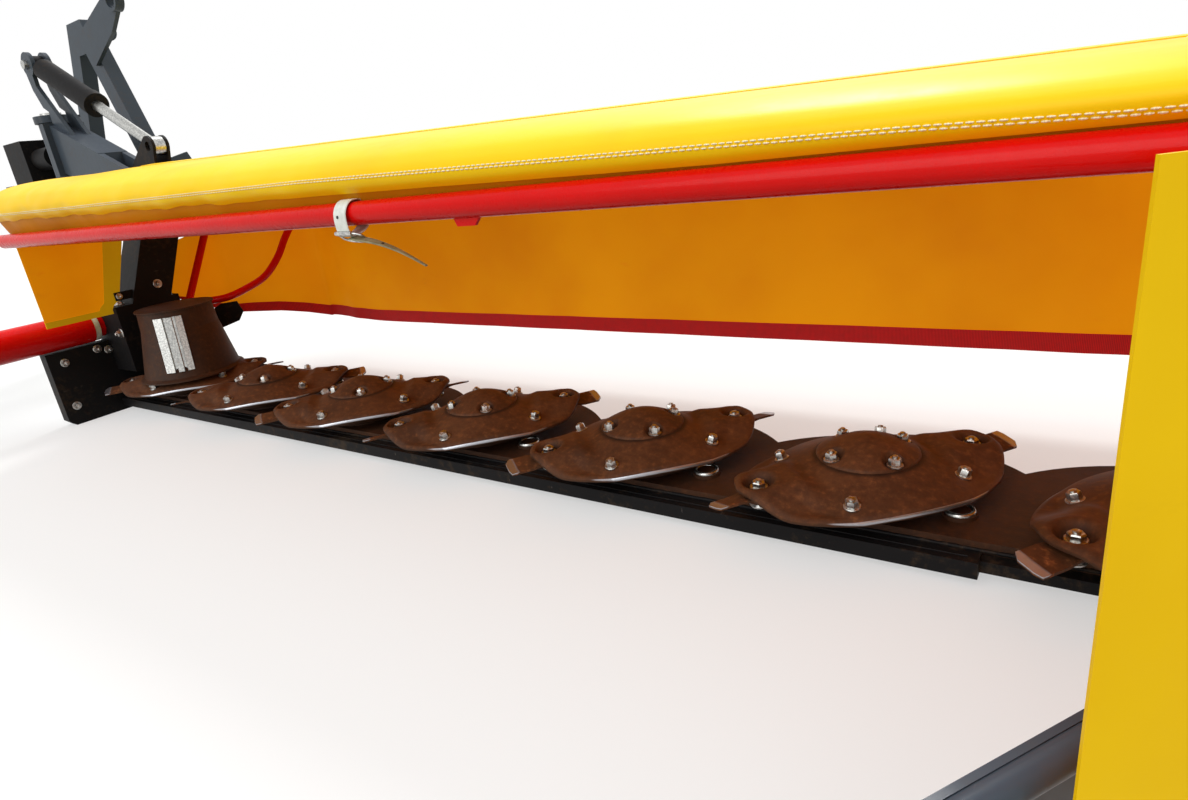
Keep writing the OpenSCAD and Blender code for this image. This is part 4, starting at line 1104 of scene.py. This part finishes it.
# Small steel parts over the solids, each on the face that carries it
drumLook = {
    "azimuth": -40,
    "reach": 0.0395,
    "low": 0.148,
    "high": 0.311,
    "lowRadius": 0.1325,
    "highRadius": 0.1095,
}


def drumPlate():
    # Ribbed wear plate on the drum's side: place across it, height over the drum
    ribs = [(-1, 0.001), (-0.97, 0.006), (-0.34, 0.007), (-0.3, 0.001), (-0.12, 0.001), (-0.08, 0.0085),
            (0.3, 0.0085), (0.34, 0.001), (0.5, 0.001), (0.54, 0.006), (0.97, 0.005), (1, 0.001)]
    low, high, wideEnd, thinEnd = (drumLook[k] for k in ("low", "high", "lowRadius", "highRadius"))
    rows = 9
    points = []
    for outside in (True, False):
        for t in stations(0, 1, rows - 1):
            radius = wideEnd + (thinEnd - wideEnd) * t ** 0.9
            for share, height in ribs:
                angle = math.radians(drumLook["azimuth"]) + share * drumLook["reach"] / radius
                r = radius + (height if outside else -0.003)
                points.append(at(r * math.cos(angle), r * math.sin(angle), low + (high - low) * t))
    meshPiece("drumPlate", points, slabFaces(rows, len(ribs))[0], ["zinc"], "disc_1")


def plugRings():
    shapes = Shapes()
    ring = [(0.0163, 0), (0.0166, 0.0042), (0.0182, 0.0062), (0.0204, 0.0064), (0.022, 0.005),
            (0.0226, 0.001), (0.0226, 0), (0.0163, 0)]
    for k in range(discCount - 1):
        shapes.lathe(ring, at(discPitch * (k + 1 / 3), -0.02, 0.06), steps=40)
    shapes.piece("plugRings", ["steel"], "bar", "zinc_steel", 50)


def railWelds():
    # Weld bead along the rail's joint with the bed, and a raised score on its top
    shapes = Shapes()
    for y, z, size, pitch, last in ((-0.0905, 0.0425, 0.0034, 0.0075, 2.795),
                                    (-0.1105, 0.0412, 0.0014, 0.02, 2.275)):
        path, sizes = [], []
        x = -0.275
        while x < last:
            wave = noise.noise(Vector((x * 60, y * 50, 3)))
            path.append(at(x, y + 0.0006 * wave, z))
            sizes.append(size * (1 + 0.28 * wave + 0.18 * math.sin(x * 420)))
            x += pitch
        shapes.tube(path, sizes, 6)
    shapes.piece("railWelds", ["rail"], "bar", "black_paint", 60)


def barBolts():
    # Way of the head, its size, its height, the washer's radius, and the places
    rows = (
        ((0, -1, 0), 0.019, 0.012, 0.015, [(-0.165, -0.105, 0.262)]),
        ((1, 0, 0), 0.017, 0.011, 0.013, [(-0.279, -0.114, 0.206), (-0.279, -0.145, 0.216),
                                          (-0.279, -0.245, 0.2), (-0.279, -0.255, 0.06)]),
        ((-1, 0, 0), 0.019, 0.012, 0.016, [(-0.345, y, z) for y in (-0.09, 0.0, 0.08) for z in (0.255, 0.33)]),
        ((0, 0, 1), 0.019, 0.012, 0.016, [(-0.2, y, 0.345) for y in (-0.07, 0.06)]),
        ((1, 0, 0), 0.017, 0.011, 0.014, [(-0.15, 0.02 + (z - 0.345) * 0.445, z) for z in (0.39, 0.6)]),
        ((-1, 0, 0), 0.017, 0.006, 0.013, [(-0.321, y, 0.12) for y in (-0.24, -0.1, 0.05)]),
        ((1, 0, 0), 0.017, 0.007, 0.013, [(2.841, -0.245, 0.1), (2.841, -0.1, 0.09), (2.841, 0.04, 0.09)]),
    )
    shapes = Shapes()
    for axis, size, head, washer, places in rows:
        for place in places:
            shapes.bolt(at(*place), axis, size, head, washer)
    shapes.piece("barBolts", ["bolt"], "bar", "zinc_steel")


def curtainTabs():
    shapes = Shapes()
    inside, outside = -0.1668, -0.1598
    for z, y0, y1 in ((0.553, -0.02, 0.045), (0.375, -0.083, -0.035)):
        shapes.bar(at(inside, y0 - 0.008, z - 0.013), at(outside, y1, z + 0.013))
        shapes.bolt(at(outside, y0 + 0.004, z), (1, 0, 0), 0.013, 0.008, 0.01, kind=1)
    shapes.piece("curtainTabs", ["black", "bolt"], "bar", "black_paint")


def sideTubeRing():
    shapes = Shapes()
    shapes.lathe([(0.0448, -0.0085), (0.0466, -0.0085), (0.047, -0.0075), (0.047, 0.0075), (0.0466, 0.0085),
                  (0.0448, 0.0085), (0.0448, -0.0085)], at(-0.301, -0.1315, 0.287), (0, 1, 0), 64)
    shapes.piece("sideTubeRing", ["strap"], "bar", "white_strap", 40)


def innerStay():
    # Bent stay from the gearbox to the front, with its straight brace
    radius = 0.012
    path = smoothLine(spots((-0.18, 0.095, 0.302), (-0.15, 0.14, 0.3035), (-0.1, 0.175, 0.3035),
                            (-0.06, 0.206, 0.307), (-0.034, 0.258, 0.322), (-0.012, 0.33, 0.352),
                            (0.008, 0.384, 0.408), (0.018, 0.424, 0.468), (0.0215, 0.47, 0.52),
                            (0.022, 0.518, 0.57)), 8)
    shapes = Shapes()
    shapes.tube(path, radius, 20)
    shapes.tube(spots((-0.175, 0.132, 0.306), (-0.175, 0.2046, 0.433), (-0.175, 0.2772, 0.56)), radius, 20)
    made = shapes.piece("innerStay", ["red"], "bar", "red_paint", 40)
    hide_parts("inner_tubes")


drumPlate()
innerStay()
plugRings()
railWelds()
barBolts()
curtainTabs()
sideTubeRing()
print("bar fittings made")

for key, nodes in {
    "charcoal": ("headstock", "swing_carrier", "stand_leg", "breakaway_head", "boom", "guard_beam",
                 "swath_board"),
    "zinc": ("hitch_pins", "breakaway_pin", "boom_pins"),
    "steel": ("input_shaft", "lift_rod"),
    "black": ("input_gearbox", "lift_barrel", "inner_shoe", "outer_shoe", "inner_gearbox", "column",
              "tube_bracket"),
    "rail": ("rear_rail", "skids"),
    "plastic": ("shaft_guard",),
    "rustBed": ("bed", "drum"),
    "red": ("side_tube", "rear_tube", "guard_arms", "front_frame", "outer_frame"),
}.items():
    for node in nodes:
        onNode(node, key)

# Light and floor
studio = {
    "zenith": (1.0, 1.0, 1.0, 1),
    "horizon": (0.26, 0.28, 0.27, 1),
    "skyStrength": 1.2,
    "plainShare": 0.5,
    "floor": (0.86, 0.86, 0.85, 1),
    "floorBounce": (0.24, 0.26, 0.19, 1),
    "floorSize": 40,
    "floorRough": 0.95,
    "skyRise": (0.35, 0.8),
    "lamps": {"softSun": (2.1, 18, (42, 0, 200)), "fillSun": (1.3, 50, (62, 0, -8))},
}


def makeSky():
    bpy.context.scene.world = bpy.data.worlds.new("studio")
    g = Graph(bpy.context.scene.world)
    upward = g.add("ShaderNodeSeparateXYZ", {0: g.add("ShaderNodeTexCoord", result="Generated")}, result="Z")
    low, high = studio["skyRise"]
    rise = g.add("ShaderNodeMapRange", {0: upward, 1: low, 2: high})
    colour = g.mix(rise, studio["horizon"], studio["zenith"])
    lit = g.add("ShaderNodeBackground", {"Color": colour, "Strength": studio["skyStrength"]})
    plain = g.add("ShaderNodeBackground", {"Color": (1, 1, 1, 1)})
    mixed = g.add("ShaderNodeMixShader", {0: g.shown(), 1: lit, 2: plain})
    g.add("ShaderNodeOutputWorld", {"Surface": mixed})


def makeLamps():
    for name, (energy, spread, turn) in studio["lamps"].items():
        sun = bpy.data.lights.new(name, "SUN")
        sun.energy = energy
        sun.angle = math.radians(spread)
        placed(name, sun).rotation_euler = [math.radians(v) for v in turn]


def makeFloor():
    size = studio["floorSize"]
    mesh = bpy.data.meshes.new("floor")
    corners = [(x * size, y * size, 0) for x, y in ((-1, -1), (1, -1), (1, 1), (-1, 1))]
    mesh.from_pydata(corners, [], [[0, 1, 2, 3]])
    floor = placed("floor", mesh)
    g = newGraph("paleFloor")
    shown = g.shown()
    colour = g.mix(shown, studio["floorBounce"], studio["floor"])
    shader = g.add("ShaderNodeBsdfPrincipled", {"Base Color": colour, "Roughness": studio["floorRough"],
                                                "Specular IOR Level": 0.1})
    plain = g.add("ShaderNodeEmission", {"Color": (1, 1, 1, 1)})
    pale = g.add("ShaderNodeMixShader", {0: shown * studio["plainShare"], 1: shader, 2: plain})
    g.add("ShaderNodeOutputMaterial", {"Surface": pale})
    mesh.materials.append(g.owner)


makeSky()
makeLamps()
makeFloor()
bpy.context.scene.view_settings.view_transform = "Standard"
print("light and floor made")
